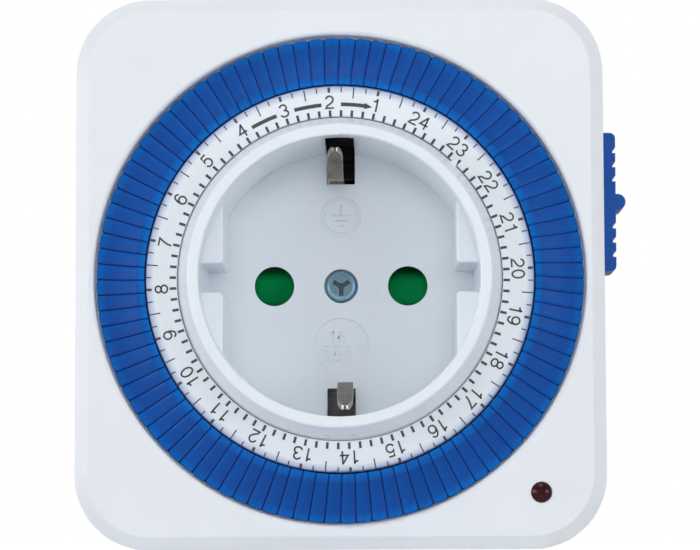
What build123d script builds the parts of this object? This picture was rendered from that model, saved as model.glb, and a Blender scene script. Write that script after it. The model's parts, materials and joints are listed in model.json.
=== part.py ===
from build123d import *
import os
from math import acos, asin, cos, degrees, hypot, pi, radians, sin, sqrt, tan

# Plug-in 24 hour timer switch: a housing with an earthed plug behind, a socket in front, and a
# dial of 96 push-down tappets round the socket that works a switch inside.
# Millimetres. +X to the right and +Z up as seen from the front, +Y back into the wall.
# The origin is the middle of the plug's nose face, between the two pins.

# ---- Working allowances ----------------------------------------------------------------------
OVER = 1.0                      # a cutter runs this far past the face it cuts
SINK = 0.1                      # a boss starts this far inside the wall it stands on

# ---- Plug ------------------------------------------------------------------------------------
PIN_PITCH = 19.0
PIN_RADIUS = 2.4
PIN_LENGTH = 19.0
PIN_TIP_LENGTH = 2.0
PIN_TIP_RADIUS = 1.3
PIN_SHOULDER = 0.2              # round the shank that the nose holds
PIN_RECESS_DEPTH = 0.4          # in the nose face, round each pin's shoulder
PIN_SLEEVE_WALL = 1.6
PIN_SLEEVE_LENGTH = 15.0
RIVET_RADIUS = 1.2
NOSE_RADIUS = 18.4
NOSE_LENGTH = 17.5
NOSE_WALL = 2.0
NOSE_FACE_THICKNESS = 4.0
NOSE_CHAMFER = 0.8
NOSE_FLAT_HALF_HEIGHT = 10.3
NOSE_KEY_CLEARANCE = 0.3
EARTH_LEG_INNER = 17.4          # from the plug's axis to the side contact's inner face
EARTH_LEG_WIDTH = 4.0
EARTH_LEG_END = 2.5             # the side contact stops this far before the nose face
EARTH_LEG_BUMP = 0.35
EARTH_LEG_BUMP_REACH = 3.0
EARTH_LEG_CLEARANCE = 0.1
PIN_BASE_INSET = 0.5            # the pins' inner ends lie this far behind the back wall's face
RIVET_HEAD = 0.3

# ---- Housing ---------------------------------------------------------------------------------
HOUSING_WIDTH = 73.3
HOUSING_HEIGHT = 76.6
HOUSING_LIFT = 0.9              # the housing's middle lies this far above the socket's axis
HOUSING_DEPTH = 38.0
REAR_COVER_DEPTH = 16.5
CORNER_RADIUS = 10.3
WALL = 1.6
PANEL_THICKNESS = 2.2
BACK_THICKNESS = 2.0
FRONT_BEVEL = 1.85              # across the panel
FRONT_BEVEL_DEPTH = 1.4         # down the side
SOFT_EDGE = 0.4
BACK_EDGE_ROUND = 1.5
TONGUE_DEPTH = 1.2
TONGUE_THICKNESS = 0.7
TONGUE_CLEARANCE = 0.1
BOSS_RADIUS = 2.4
UPPER_SCREW_SIDE = 7.1          # from the housing's side
UPPER_SCREW_TOP = 6.0           # from its top
LOWER_SCREW_SIDE = 4.7
LOWER_SCREW_Z = -23.5
HOUSING_SCREW_RADIUS = 1.45
HOUSING_SCREW_GRIP = 9.0        # into the front cover's boss
HOUSING_HEAD_RADIUS = 2.6
HOUSING_HEAD_THICKNESS = 1.6
HOUSING_HEAD_WELL = 4.0
HEAD_CLEARANCE = 0.2
HEAD_BOSS_WALL = 1.1
HEAD_BOSS_FLOOR = 1.5
CROSS_LENGTH = 2.6
CROSS_WIDTH = 0.6
CROSS_DEPTH = 0.9
TIP_ROOM = 0.5                  # a blind screw hole runs this far past the screw's end
THREAD_CLEARANCE = 0.05
SCREW_CLEARANCE = 0.15

# ---- Socket cup and collar -------------------------------------------------------------------
COLLAR_RISE = 4.5               # the rim stands this far in front of the panel
RECESS_DEPTH = 17.5
RECESS_RIM_RADIUS = 19.3
RECESS_FLOOR_RADIUS = 18.95
COLLAR_RIM_WALL = 1.56
COLLAR_FOOT_WALL = 2.9          # from the recess's rim to the collar's foot
COLLAR_FOOT_STEP = 0.2
RIM_ROUND = 0.3
FLOOR_THICKNESS = 2.0
CUP_SKIRT_WALL = 2.2
PIN_HOLE_RADIUS = 2.82
SCREW_WELL_RADIUS = 2.43
SCREW_WELL_DEPTH = 1.6
GUIDE_CHORD = 16.1              # from the axis to the ribs' flat faces
GUIDE_GAP = 4.0
GUIDE_TOP_DEPTH = 3.4           # the guide ribs stop this far behind the rim
GUIDE_CORNER = 0.5
GUIDE_TOP_ROUND = 0.3
EARTH_SLOT_WIDTH = 4.0
EARTH_SLOT_INNER = 14.6
EARTH_SLOT_OUTER = 20.5
EARTH_SLOT_TOP_DEPTH = 2.3
EARTH_SLOT_LIP = 3.5            # behind the slot's top its outer wall steps back
EARTH_POCKET_OUTER = 21.6
MARK_DEPTH = 0.15
EARTH_MARK_HEIGHT = 9.9
EARTH_MARK_OUTER = 2.85
EARTH_MARK_INNER = 2.3
EARTH_MARK_LINE = 0.24
EARTH_MARK_STEM = 1.5           # above the longest of its three bars
EARTH_MARK_BAR = 2.7
EARTH_MARK_BAR_TAPER = 0.9      # each bar is this much shorter than the one above
EARTH_MARK_BAR_PITCH = 0.75
EARTH_MARK_BAR_TOP = 0.2        # the longest bar lies this far above the sign's middle
RATING_MARK_HEIGHT = -8.5
RATING_MARK_RADIUS = 3.9

# ---- Dial ------------------------------------------------------------------------------------
RUNNING_CLEARANCE = 0.1         # radial, cup in dial
DIAL_THICKNESS = 1.2
DIAL_HUB_WALL = 1.5
DIAL_EDGE_ROUND = 0.4           # outer edge of the dial's face
DIAL_WEB_WALL = 1.2
CARRIER_DEPTH = 6.7             # from the dial's face to the slotted carrier
CARRIER_THICKNESS = 2.0
CARRIER_RIM_WALL = 0.75
CARRIER_LAP = 0.45              # the panel's edge holds the carrier's rim back by this much
PANEL_CLEARANCE = 0.3
CHASSIS_CLEARANCE = 0.4
WELL_CLEARANCE = 0.3
WELL_EDGE_ROUND = 0.55
POINTER_ANGLE = 45.0            # clockwise from the top
POINTER_LENGTH = 1.0
POINTER_WIDTH = 1.6
POINTER_THICKNESS = 0.35
POINTER_CLEARANCE = 0.15
POINTER_ROOT = 0.6

# ---- Tappets: 96 quarter hours, in 24 hours of four -------------------------------------------
HOURS = 24
TAPPETS_PER_HOUR = 4
TAPPET_MARGIN = 2.9             # from the tappets' ends to the housing's nearest side
TAPPET_SHARE = 0.5938           # of the width between the collar's bearing and the tappets' ends
TAPPET_FACE_GAP = 0.15          # round the dial's face
TAPPET_GAP = 0.12
TAPPET_SKEW = 0.6               # the inner ends lag the outer ends by this angle
TAPPET_PHASE = -2.025           # the first tappet of hour 1, clockwise from the top
TAPPET_DROP = 1.4               # the outer end lies this far below the inner end
TAPPET_HEAD_DEPTH = 3.6
TAPPET_END_LAND = 1.2
TAPPET_DISH = 0.3
TAPPET_CORNER = 0.3
TAPPET_TRAVEL = 3.0
STEM_INNER_MARGIN = 1.75        # from the head's inner end
STEM_OUTER_MARGIN = 1.3
STEM_WIDTH = 0.7
STEM_SLOT_CLEARANCE = 0.1
STEM_PROTRUSION = 0.5           # behind the carrier, with the tappet out

# ---- Shutter ---------------------------------------------------------------------------------
SHUTTER_THICKNESS = 1.8
SHUTTER_CLEARANCE = 0.2
SHUTTER_BORE_CLEARANCE = 0.08
SHUTTER_HUB_RADIUS = 5.4
SHUTTER_RADIUS = 13.2
SHUTTER_HALF_ANGLE = 20.0
SHUTTER_RAMP = 1.0
WING_NECK = 0.01                # the wings' outlines part by this at the axis
RAMP_SHARE = 0.8                # how much of a wing's half width lies beyond the ramp
SHUTTER_LUG_LENGTH = 2.2
SHUTTER_LUG_WIDTH = 2.0
SPRING_RADIUS = 0.65
SPRING_WIRE_RADIUS = 0.14
SPRING_LENGTH = 6.0
SPRING_TURNS = 7
SPRING_POST_WIDTH = 1.2
SPRING_POST_MARGIN = 0.4
CUP_BOSS_RADIUS = 3.6
CUP_BOSS_LENGTH = 2.5

# ---- Contacts --------------------------------------------------------------------------------
STRIP_THICKNESS = 0.6
STRIP_BEND = 0.9
TIGHT_BEND = 0.6
STRIP_CLEARANCE = 0.2
EARTH_WEB_WIDTH = 4.8
CLIP_WIDTH = 2.2
CLIP_OFFSET = 0.65
CLIP_TIP_DEPTH = 4.0            # the clips' tips lie this far behind the rim
CLIP_THROAT_DEPTH = 9.2
CLIP_TIP_ROUND = 2.0            # along the clip's depth
CLIP_FLARE = 3.65
CLIP_THROAT_MARGIN = -0.25      # outward of the slot's inner end
CLIP_FOOT_MARGIN = 3.8          # inward of the slot's outer end
CLIP_ROOT = 3.0
PIN_CLIP_WIDTH = 4.8
PIN_CLIP_PINCH = 2.35
PIN_CLIP_OPEN = 3.1
PIN_CLIP_INSET = 0.4            # the leaves' ends lie this far inside the block
PIN_CLIP_MOUTH = 2.6
PIN_CLIP_THROAT = 8.0
BLOCK_HALF_X = 15.5
BLOCK_HALF_Z = 7.0
BLOCK_CORNER = 1.0
BLOCK_STAND_OFF = 0.9           # before the back wall
POCKET_HALF_X = 4.2
POCKET_HALF_Z = 3.6
BARRIER_THICKNESS = 2.0
TERMINAL_WIDTH = 3.4
OUTLET_LEG_OFFSET = 1.2         # the outlet strip's leg lies this far inboard of its pin
INLET_STRIP_Z = 9.2
INLET_STRIP_OFFSET = 2.2        # the inlet strip's riser lies this far outboard of its pin
INLET_STRIP_GAP = 1.0           # behind the switch
WIRE_TAB_REACH = 3.0
CENTRE_SCREW_RADIUS = 1.5
CENTRE_SCREW_TIP = 10.0         # the screw's end lies this far before the nose face
CENTRE_HEAD_CLEARANCE = 0.2
CENTRE_HEAD_SUNK = 0.2
CENTRE_HEAD_ROUND = 0.7
CENTRE_BOSS_RADIUS = 3.0
LOBES = 3
LOBE_LENGTH = 1.35
LOBE_WIDTH = 0.7
LOBE_DEPTH = 0.8
LOBE_HUB_RADIUS = 0.49

# ---- Chassis and gear plate ------------------------------------------------------------------
CUP_SEAT = 0.6                  # the cup's skirt reaches this far behind the floor
CHASSIS_THICKNESS = 1.5
CHASSIS_FIT = 0.3
CHASSIS_BORE = 18.4
PLATE_GAP = 4.0
PLATE_THICKNESS = 1.0
PILLAR_RADIUS = 1.6
HIGH_PILLARS = ((9.6, -18.2), (-27.4, -29.0), (-30.3, -4.8))
LOW_PILLAR_X = 4.6
LOW_PILLAR_MARGIN = 2.8         # above the housing's lower wall
MOVEMENT_SCREW_RADIUS = 0.9
MOVEMENT_SCREW_LENGTH = 3.8
MOVEMENT_HEAD_RADIUS = 1.6
MOVEMENT_HEAD_THICKNESS = 0.9
DRIVER_SLOT_WIDTH = 0.5
DRIVER_SLOT_DEPTH = 0.4
PLATE_MARGIN = 0.7              # of plate round each pillar

# ---- Gear train ------------------------------------------------------------------------------
PRESSURE_ANGLE = 25.0
BACKLASH = 0.1
MESH_CLEARANCE = 0.05
DIAL_MODULE = 0.5
DIAL_TEETH_MARGIN = 1.0         # from the dial's hub to the teeth's pitch circle
TOOTH_ADDENDUM = 0.8            # of the module
TOOTH_DEDENDUM = 1.1
DRIVE_TEETH = 12
WHEEL_MODULE = 0.4
CLUTCH_TEETH = 42
IDLER_PINION_TEETH = 10
IDLER_TEETH = 40
MOTOR_TEETH = 10
DRIVE_DIRECTION = 211.0         # from the dial's axis to the drive arbor, counter-clockwise from +X
IDLER_DIRECTION = -60.0         # from the drive arbor to the idler
MOTOR_DIRECTION = 0.0           # from the idler to the motor
PINION_FACE = 2.5
WHEEL_THICKNESS = 1.0
WHEEL_GAP = 0.5                 # behind the chassis
WHEEL_SPACING = 0.6             # between the clutch wheel and the idler wheel
MOTOR_PINION_OVERHANG = 0.2     # on each side of the idler wheel
ARBOR_RADIUS = 0.8
COLLAR_RADIUS = 1.6
COLLAR_THICKNESS = 0.6
SHOULDER_RADIUS = 1.2
END_PLAY = 0.2
PIVOT_INSET = 0.2               # the pivots end this far inside the plate's back
PIVOT_RADIUS = 0.6
PIVOT_DEPTH = 0.8
BEARING_CLEARANCE = 0.05
CLUTCH_DISH = 0.3
CLUTCH_SPRING_MARGIN = 0.3
ROOT_STEP = 0.02                # of the teeth's flanks above the base circle
SHAFT_HOLE_CLEARANCE = 0.4

# ---- Motor -----------------------------------------------------------------------------------
MOTOR_FULL_RADIUS = 11.5
MOTOR_SIDE_GAP = 0.8            # at least, to the housing's lower wall
MOTOR_BACK_GAP = 1.9
MOTOR_WALL = 0.6
GEARBOX_DEPTH = 2.0
COIL_INNER_RADIUS = 6.2
COIL_CLEARANCE = 0.3
COIL_END_GAP = 0.8
ROTOR_RADIUS = 5.6
ROTOR_INSET = 0.75              # at each end of the coil
TERMINAL_BLOCK = (3.0, 5.0, 5.0)
TERMINAL_ROOT = 1.0
TERMINAL_SPACING = 2.4
OUTPUT_SHAFT_REACH = 1.2
OUTPUT_FLANGE_RADIUS = 2.6
OUTPUT_FLANGE_THICKNESS = 0.7
SHAFT_END = 0.1

# ---- Mode slider, follower lever and switch ----------------------------------------------------
SLIDER_TRAVEL = 4.0
SLIDER_Z = 12.2
SLIDER_LENGTH = 20.0
SLIDER_WIDTH = 7.0
SLIDER_FRONT = 15.5             # behind the panel
SLIDER_STAND_OFF = 0.15
SLIDER_THICKNESS = 2.65
SLIDER_END_ROUND = 0.8
KNOB_HEIGHT = 1.4
KNOB_RADIUS = 1.15
NOTCH_DEPTH = 0.45
NOTCH_WIDTH = 0.85
NOTCH_FIRST = 3.4
NOTCH_PITCH = 2.05
NOTCHES_PER_SIDE = 3
SLIDER_STEM_LENGTH = 6.0
SLIDER_STEM_DEPTH = 4.3
SLIDE_CLEARANCE = 0.2
CARRIAGE_THICKNESS = 1.6
CARRIAGE_LENGTH = 12.0
FINGER_REACH = 7.4              # inward of the side wall
FINGER_LENGTH = 7.0
FINGER_BACK_CLEARANCE = 0.15
FINGER_HEIGHT = 1.25
FINGER_RAMP = 2.8
LEVER_Z = 8.5
LEVER_PIN_RADIUS = 0.6
LEVER_PIN_DEPTH = 0.6           # the pin's axis lies this far before the lever's back
PIN_STAND = 0.1
EAR_MARGIN = 0.4
LEVER_HUB_RADIUS = 1.05
LEVER_THICKNESS = 1.5
LEVER_HUB_REACH = 7.9           # inward of the side wall
LEVER_HUB_LENGTH = 3.5
LEVER_NOSE_ANGLE = 44.7         # round the dial, from +X
LEVER_NOSE_SIZE = 3.0
LEVER_TAIL_REACH = 6.5
LEVER_TAIL_WIDTH = 2.2
LEVER_NOSE_CLEARANCE = 0.3      # behind a pushed tappet's stem
LEVER_FINGER_CLEARANCE = 0.1
EAR_THICKNESS = 0.8
EAR_CLEARANCE = 0.2
EAR_HALF_LENGTH = 1.5
SWITCH_REACH = 10.1             # from its middle to the side wall
SWITCH_Z = 16.0
SWITCH_WIDTH = 6.4
SWITCH_LENGTH = 20.0
SWITCH_DEPTH = 10.0
SWITCH_WALL = 0.7
SWITCH_STAND_OFF = 1.9
SWITCH_SEAT_LENGTH = 3.0
OUTLET_STRIP_Z = 22.0
TERMINAL_REACH = 2.5            # how far the strips reach into the switch
PLUNGER_Z = 16.0
PLUNGER_RADIUS = 1.0
PLUNGER_FLANGE_RADIUS = 1.8
PLUNGER_FLANGE_THICKNESS = 0.8
PLUNGER_TRAVEL = 1.2
PLUNGER_CLEARANCE = 0.1
PLUNGER_HOLE_CLEARANCE = 0.3
PLUNGER_TAIL = 0.3
BLADE_END = 1.5
BLADE_FLAT = 2.4
BLADE_WIDTH = 3.0
BLADE_THICKNESS = 0.3

# ---- Lamp --------------------------------------------------------------------------------------
LAMP_SIDE_MARGIN = 9.1          # from the lamp's axis to the housing's side
LAMP_BOTTOM_MARGIN = 7.8
LENS_RADIUS = 1.4
LENS_STAND = 0.7
LENS_FLANGE_RADIUS = 2.05
LENS_FLANGE_THICKNESS = 0.8
LAMP_RADIUS = 1.9
LAMP_LENGTH = 8.0
LAMP_DOME_ROUND = 1.5
LAMP_GAP = 0.4
LAMP_TUBE_CLEARANCE = 0.2
LAMP_TUBE_WALL = 0.8
LAMP_TUBE_LENGTH = 6.0
LEAD_RADIUS = 0.3
LEAD_SPACING = 1.6
RESISTOR_RADIUS = 1.1
RESISTOR_LENGTH = 6.0
RESISTOR_GAP = 3.5              # from the lamp's axis to the resistor's end
RESISTOR_CLEARANCE = 0.2
RESISTOR_ROUND = 0.3
RESISTOR_LEAD = 1.5

# ---- Wires -------------------------------------------------------------------------------------
WIRE_RADIUS = 0.5
WIRE_BEND_SHARE = 0.45          # of the shorter run beside it that a bend may take up
NEUTRAL_WIRE_DROP = 0.8         # below the wire tabs, toward the motor
LIVE_WIRE_DROP = 3.6
LAMP_WIRE_START = 8.5           # forward of the outlet contact
LAMP_WIRE_HIGH = (11.6, 9.5)    # forward of the outlet contact, and height
LAMP_WIRE_LOW = (13.4, -3.5)
LAMP_WIRE_END_Z = -17.0
LAMP_WIRE_REACH = 13.0          # outboard of the motor's terminals

# ---- Depths that follow, front to back -----------------------------------------------------------
BACK_Y = -NOSE_LENGTH
PANEL_Y = BACK_Y - HOUSING_DEPTH
PANEL_BACK_Y = PANEL_Y + PANEL_THICKNESS
SPLIT_Y = BACK_Y - REAR_COVER_DEPTH
RIM_Y = PANEL_Y - COLLAR_RISE
FLOOR_Y = RIM_Y + RECESS_DEPTH
FLOOR_BACK_Y = FLOOR_Y + FLOOR_THICKNESS
CHASSIS_Y = FLOOR_BACK_Y + CUP_SEAT
CHASSIS_BACK_Y = CHASSIS_Y + CHASSIS_THICKNESS
CARRIER_Y = PANEL_Y + CARRIER_DEPTH
CARRIER_BACK_Y = CARRIER_Y + CARRIER_THICKNESS
CARRIER_RIM_Y = PANEL_BACK_Y + PANEL_CLEARANCE
DIAL_BACK_Y = CHASSIS_Y - CHASSIS_CLEARANCE
STEM_END_Y = CARRIER_BACK_Y + STEM_PROTRUSION
SHUTTER_Y = FLOOR_BACK_Y + SHUTTER_CLEARANCE
SHUTTER_BACK_Y = SHUTTER_Y + SHUTTER_THICKNESS
EARTH_WEB_Y = FLOOR_BACK_Y + CUP_BOSS_LENGTH
BLOCK_Y = EARTH_WEB_Y + STRIP_THICKNESS
INNER_BACK_Y = BACK_Y - BACK_THICKNESS
PLUG_STRAP_Y = INNER_BACK_Y - BLOCK_STAND_OFF
BOSS_FACE_Y = PLUG_STRAP_Y + STRIP_THICKNESS
PIN_BASE_Y = INNER_BACK_Y + PIN_BASE_INSET
INLET_PLATE_Y = PIN_BASE_Y - STRIP_THICKNESS
BARRIER_Y = PLUG_STRAP_Y - BARRIER_THICKNESS
OUTLET_PLATE_Y = BARRIER_Y - STRIP_THICKNESS
PLATE_Y = CHASSIS_BACK_Y + PLATE_GAP
PLATE_BACK_Y = PLATE_Y + PLATE_THICKNESS
MOTOR_DEPTH = INNER_BACK_Y - PLATE_BACK_Y - MOTOR_BACK_GAP
COIL_LENGTH = MOTOR_DEPTH - 2 * MOTOR_WALL - GEARBOX_DEPTH - COIL_END_GAP
ROTOR_LENGTH = COIL_LENGTH - 2 * ROTOR_INSET
CLUTCH_Y = CHASSIS_BACK_Y + WHEEL_GAP
IDLER_Y = CLUTCH_Y + WHEEL_THICKNESS + WHEEL_SPACING
SWITCH_Y = CHASSIS_BACK_Y + SWITCH_STAND_OFF
SWITCH_BACK_Y = SWITCH_Y + SWITCH_DEPTH
TERMINAL_END_Y = SWITCH_BACK_Y - TERMINAL_REACH
SLIDER_Y = PANEL_Y + SLIDER_FRONT
HEAD_SEAT_Y = BACK_Y - HOUSING_HEAD_WELL
LENS_BACK_Y = PANEL_BACK_Y + LENS_FLANGE_THICKNESS
LAMP_Y = LENS_BACK_Y + LAMP_GAP

# ---- Radii and places that follow ----------------------------------------------------------------
COLLAR_RIM_RADIUS = RECESS_RIM_RADIUS + COLLAR_RIM_WALL
COLLAR_FOOT_RADIUS = RECESS_RIM_RADIUS + COLLAR_FOOT_WALL
JOURNAL_RADIUS = COLLAR_FOOT_RADIUS + COLLAR_FOOT_STEP
DIAL_BORE = JOURNAL_RADIUS + RUNNING_CLEARANCE
DIAL_HUB_RADIUS = DIAL_BORE + DIAL_HUB_WALL
DIAL_TEETH = 2 * round((DIAL_HUB_RADIUS + DIAL_TEETH_MARGIN) / DIAL_MODULE)
HOUSING_SIDE_X = HOUSING_WIDTH / 2
HOUSING_TOP_Z = HOUSING_LIFT + HOUSING_HEIGHT / 2
HOUSING_BOTTOM_Z = HOUSING_LIFT - HOUSING_HEIGHT / 2
INNER_X = HOUSING_SIDE_X - WALL
INNER_BOTTOM_Z = HOUSING_BOTTOM_Z + WALL
TAPPET_OUTER_RADIUS = min(HOUSING_SIDE_X, -HOUSING_BOTTOM_Z) - TAPPET_MARGIN
TAPPET_LENGTH = TAPPET_SHARE * (TAPPET_OUTER_RADIUS - JOURNAL_RADIUS)
TAPPET_INNER_RADIUS = TAPPET_OUTER_RADIUS - TAPPET_LENGTH
DIAL_FACE_RADIUS = TAPPET_INNER_RADIUS - TAPPET_FACE_GAP
STEM_INNER_RADIUS = TAPPET_INNER_RADIUS + STEM_INNER_MARGIN
STEM_OUTER_RADIUS = TAPPET_OUTER_RADIUS - STEM_OUTER_MARGIN
WELL_RADIUS = TAPPET_OUTER_RADIUS + WELL_CLEARANCE
CARRIER_RADIUS = WELL_RADIUS + CARRIER_LAP
NOSE_FLAT_X = GUIDE_CHORD - NOSE_KEY_CLEARANCE
PIN_X = PIN_PITCH / 2
PIN_SHANK_RADIUS = PIN_RADIUS - PIN_SHOULDER
FINGER_Y = CHASSIS_Y - FINGER_BACK_CLEARANCE - FINGER_HEIGHT
LEVER_BACK_Y = FINGER_Y - LEVER_FINGER_CLEARANCE
LEVER_Y = LEVER_BACK_Y - LEVER_PIN_DEPTH
LEVER_FRONT_Y = LEVER_BACK_Y - LEVER_THICKNESS
LEVER_NOSE_Y = STEM_END_Y + TAPPET_TRAVEL + LEVER_NOSE_CLEARANCE
FINGER_INNER_X = INNER_X - FINGER_REACH
LEVER_HUB_INNER_X = INNER_X - LEVER_HUB_REACH
SWITCH_X = INNER_X - SWITCH_REACH
LAMP_X = HOUSING_SIDE_X - LAMP_SIDE_MARGIN
LAMP_Z = HOUSING_BOTTOM_Z + LAMP_BOTTOM_MARGIN
LAMP = (LAMP_X, LAMP_Z)


def polar(radius, angle):
    """A point of the front view, counter-clockwise from +X."""
    return (radius * cos(radians(angle)), radius * sin(radians(angle)))


def stepped(start, distance, angle):
    """The point at a distance and direction from another one."""
    step = polar(distance, angle)
    return (start[0] + step[0], start[1] + step[1])


def lever_nose():
    """Where the lever's nose lies, behind the middle of the stems."""
    return polar((STEM_INNER_RADIUS + STEM_OUTER_RADIUS) / 2, LEVER_NOSE_ANGLE)


def mesh_distance(module, teeth_a, teeth_b):
    return module * (teeth_a + teeth_b) / 2 + MESH_CLEARANCE


DRIVE = polar(mesh_distance(DIAL_MODULE, DIAL_TEETH, DRIVE_TEETH), DRIVE_DIRECTION)
IDLER = stepped(
    DRIVE, mesh_distance(WHEEL_MODULE, CLUTCH_TEETH, IDLER_PINION_TEETH), IDLER_DIRECTION
)
MOTOR = stepped(IDLER, mesh_distance(WHEEL_MODULE, IDLER_TEETH, MOTOR_TEETH), MOTOR_DIRECTION)
MOTOR_RADIUS = min(MOTOR_FULL_RADIUS, MOTOR[1] - INNER_BOTTOM_Z - MOTOR_SIDE_GAP)
PILLARS = HIGH_PILLARS + ((LOW_PILLAR_X, INNER_BOTTOM_Z + LOW_PILLAR_MARGIN),)


# ---- Ways of making solids -----------------------------------------------------------------------


def front_plane(y):
    """A sketch plane that faces the front: its x is +X and its y is +Z."""
    return Plane(origin=(0, y, 0), x_dir=(1, 0, 0), z_dir=(0, -1, 0))


def side_plane(x):
    """A sketch plane across the part: its x is +Y and its y is +Z."""
    return Plane(origin=(x, 0, 0), x_dir=(0, 1, 0), z_dir=(1, 0, 0))


def slab(sketch, front_y, back_y):
    """A front-view sketch made solid between two depths."""
    return extrude(front_plane(back_y) * sketch, amount=back_y - front_y)


def disc(radius, front_y, back_y, at=(0, 0)):
    return slab(Pos(*at) * Circle(radius), front_y, back_y)


def ring(outer, inner, front_y, back_y, at=(0, 0)):
    return disc(outer, front_y, back_y, at) - disc(inner, front_y - OVER, back_y + OVER, at)


def block(x_range, y_range, z_range):
    """A box between two values on each axis."""
    low = (x_range[0], y_range[0], z_range[0])
    size = (x_range[1] - x_range[0], y_range[1] - y_range[0], z_range[1] - z_range[0])
    return Pos(*low) * Box(*size, align=(Align.MIN, Align.MIN, Align.MIN))


def turned(*points):
    """A profile of (radius, depth) points turned about the dial's axis."""
    return revolve(make_face(Polyline(*points, close=True)), Axis.Y)


def bent_strip(points, width, width_direction, thickness=STRIP_THICKNESS, bend=STRIP_BEND):
    """Sheet metal of one width bent along a route, with rounded bends."""
    path = FilletPolyline(*points, radius=bend)
    start = Plane(origin=path @ 0, x_dir=width_direction, z_dir=path % 0)
    return sweep(start * Rectangle(width, thickness), path=path)


def housing_plan(inset=0.0):
    """The housing's rounded outline, pulled in by an inset."""
    outline = RectangleRounded(
        HOUSING_WIDTH - 2 * inset, HOUSING_HEIGHT - 2 * inset, CORNER_RADIUS - inset
    )
    return Pos(0, HOUSING_LIFT) * outline


def screw_places():
    """The front view's places of the four screws that hold the covers together."""
    sides = (-1, 1)
    upper_z = HOUSING_TOP_Z - UPPER_SCREW_TOP
    upper = [(side * (HOUSING_SIDE_X - UPPER_SCREW_SIDE), upper_z) for side in sides]
    lower = [(side * (HOUSING_SIDE_X - LOWER_SCREW_SIDE), LOWER_SCREW_Z) for side in sides]
    return upper + lower


# ---- Housing -------------------------------------------------------------------------------------


def slider_slot():
    """The slot in the right wall, from the covers' joint forwards."""
    half = SLIDER_STEM_LENGTH / 2 + SLIDE_CLEARANCE
    depth = SLIDER_STEM_DEPTH + 2 * SLIDE_CLEARANCE
    return block(
        (INNER_X - OVER, HOUSING_SIDE_X + OVER),
        (SPLIT_Y - depth, SPLIT_Y),
        (SLIDER_Z - half - SLIDER_TRAVEL, SLIDER_Z + half),
    )


def front_cover():
    shell = slab(housing_plan(), PANEL_Y, SPLIT_Y)
    front = shell.faces().sort_by(Axis.Y)[0]
    shell = chamfer(front.edges(), FRONT_BEVEL, FRONT_BEVEL_DEPTH, reference=front)
    front = shell.faces().sort_by(Axis.Y)[0]
    shell = fillet(front.edges(), SOFT_EDGE)
    shell -= slab(housing_plan(WALL), PANEL_BACK_Y, SPLIT_Y + OVER)
    groove_inset = WALL - TONGUE_THICKNESS - TONGUE_CLEARANCE
    groove_y = SPLIT_Y - TONGUE_DEPTH - TONGUE_CLEARANCE
    shell -= slab(housing_plan(groove_inset), groove_y, SPLIT_Y + OVER)
    shell += [disc(BOSS_RADIUS, PANEL_BACK_Y - SINK, CHASSIS_Y, at) for at in screw_places()]
    tube_radius = LAMP_RADIUS + LAMP_TUBE_CLEARANCE
    shell += disc(
        tube_radius + LAMP_TUBE_WALL, PANEL_BACK_Y - SINK, PANEL_BACK_Y + LAMP_TUBE_LENGTH, LAMP
    )
    shell -= disc(tube_radius, PANEL_BACK_Y, PANEL_BACK_Y + LAMP_TUBE_LENGTH + OVER, LAMP)
    shell -= disc(LENS_RADIUS + THREAD_CLEARANCE, PANEL_Y - OVER, PANEL_BACK_Y + OVER, LAMP)
    shell -= disc(WELL_RADIUS, PANEL_Y - OVER, PANEL_BACK_Y + OVER)
    well_edges = shell.edges().filter_by(GeomType.CIRCLE).group_by(SortBy.RADIUS)[-1]
    shell = fillet(well_edges.sort_by(Axis.Y)[0], WELL_EDGE_ROUND)
    tip_y = CHASSIS_Y - HOUSING_SCREW_GRIP
    shell -= [
        disc(HOUSING_SCREW_RADIUS + THREAD_CLEARANCE, tip_y - TIP_ROOM, CHASSIS_Y + OVER, at)
        for at in screw_places()
    ]
    return shell - slider_slot()


def nose_plan(inset=0.0):
    """Round, with a flat on each side and a key ridge in the middle of each flat."""
    plan = Circle(NOSE_RADIUS - inset)
    flat_x = NOSE_FLAT_X - inset
    reach = NOSE_RADIUS - flat_x + OVER
    key_half = GUIDE_GAP / 2 - NOSE_KEY_CLEARANCE
    flats = Rectangle(reach, 2 * NOSE_FLAT_HALF_HEIGHT) - Rectangle(reach, 2 * key_half)
    for side in (-1, 1):
        plan -= Pos(side * (flat_x + reach / 2), 0) * flats
    return plan


def nose_hollow_plan():
    half_width = NOSE_FLAT_X - NOSE_WALL
    return Circle(NOSE_RADIUS - NOSE_WALL) & Rectangle(2 * half_width, 2 * NOSE_RADIUS)


def plug_nose():
    nose = slab(nose_plan(), INNER_BACK_Y, 0)
    face = nose.faces().sort_by(Axis.Y)[-1]
    return chamfer(face.edges(), NOSE_CHAMFER)


def nose_earth_channel(side):
    """The groove in the nose that a side earth contact lies in, and its way through the back."""
    half = EARTH_LEG_WIDTH / 2 + 2 * EARTH_LEG_CLEARANCE
    floor_z = EARTH_LEG_INNER - EARTH_LEG_CLEARANCE
    roof_z = EARTH_LEG_INNER + STRIP_THICKNESS + EARTH_LEG_CLEARANCE
    end_y = -EARTH_LEG_END + 3 * EARTH_LEG_CLEARANCE
    way = block((-half, half), (INNER_BACK_Y - OVER, BACK_Y + OVER), sorted((side * floor_z, side * roof_z)))
    open_z = sorted((side * floor_z, side * (NOSE_RADIUS + OVER)))
    return way + block((-half, half), (BACK_Y, end_y), open_z)


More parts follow.
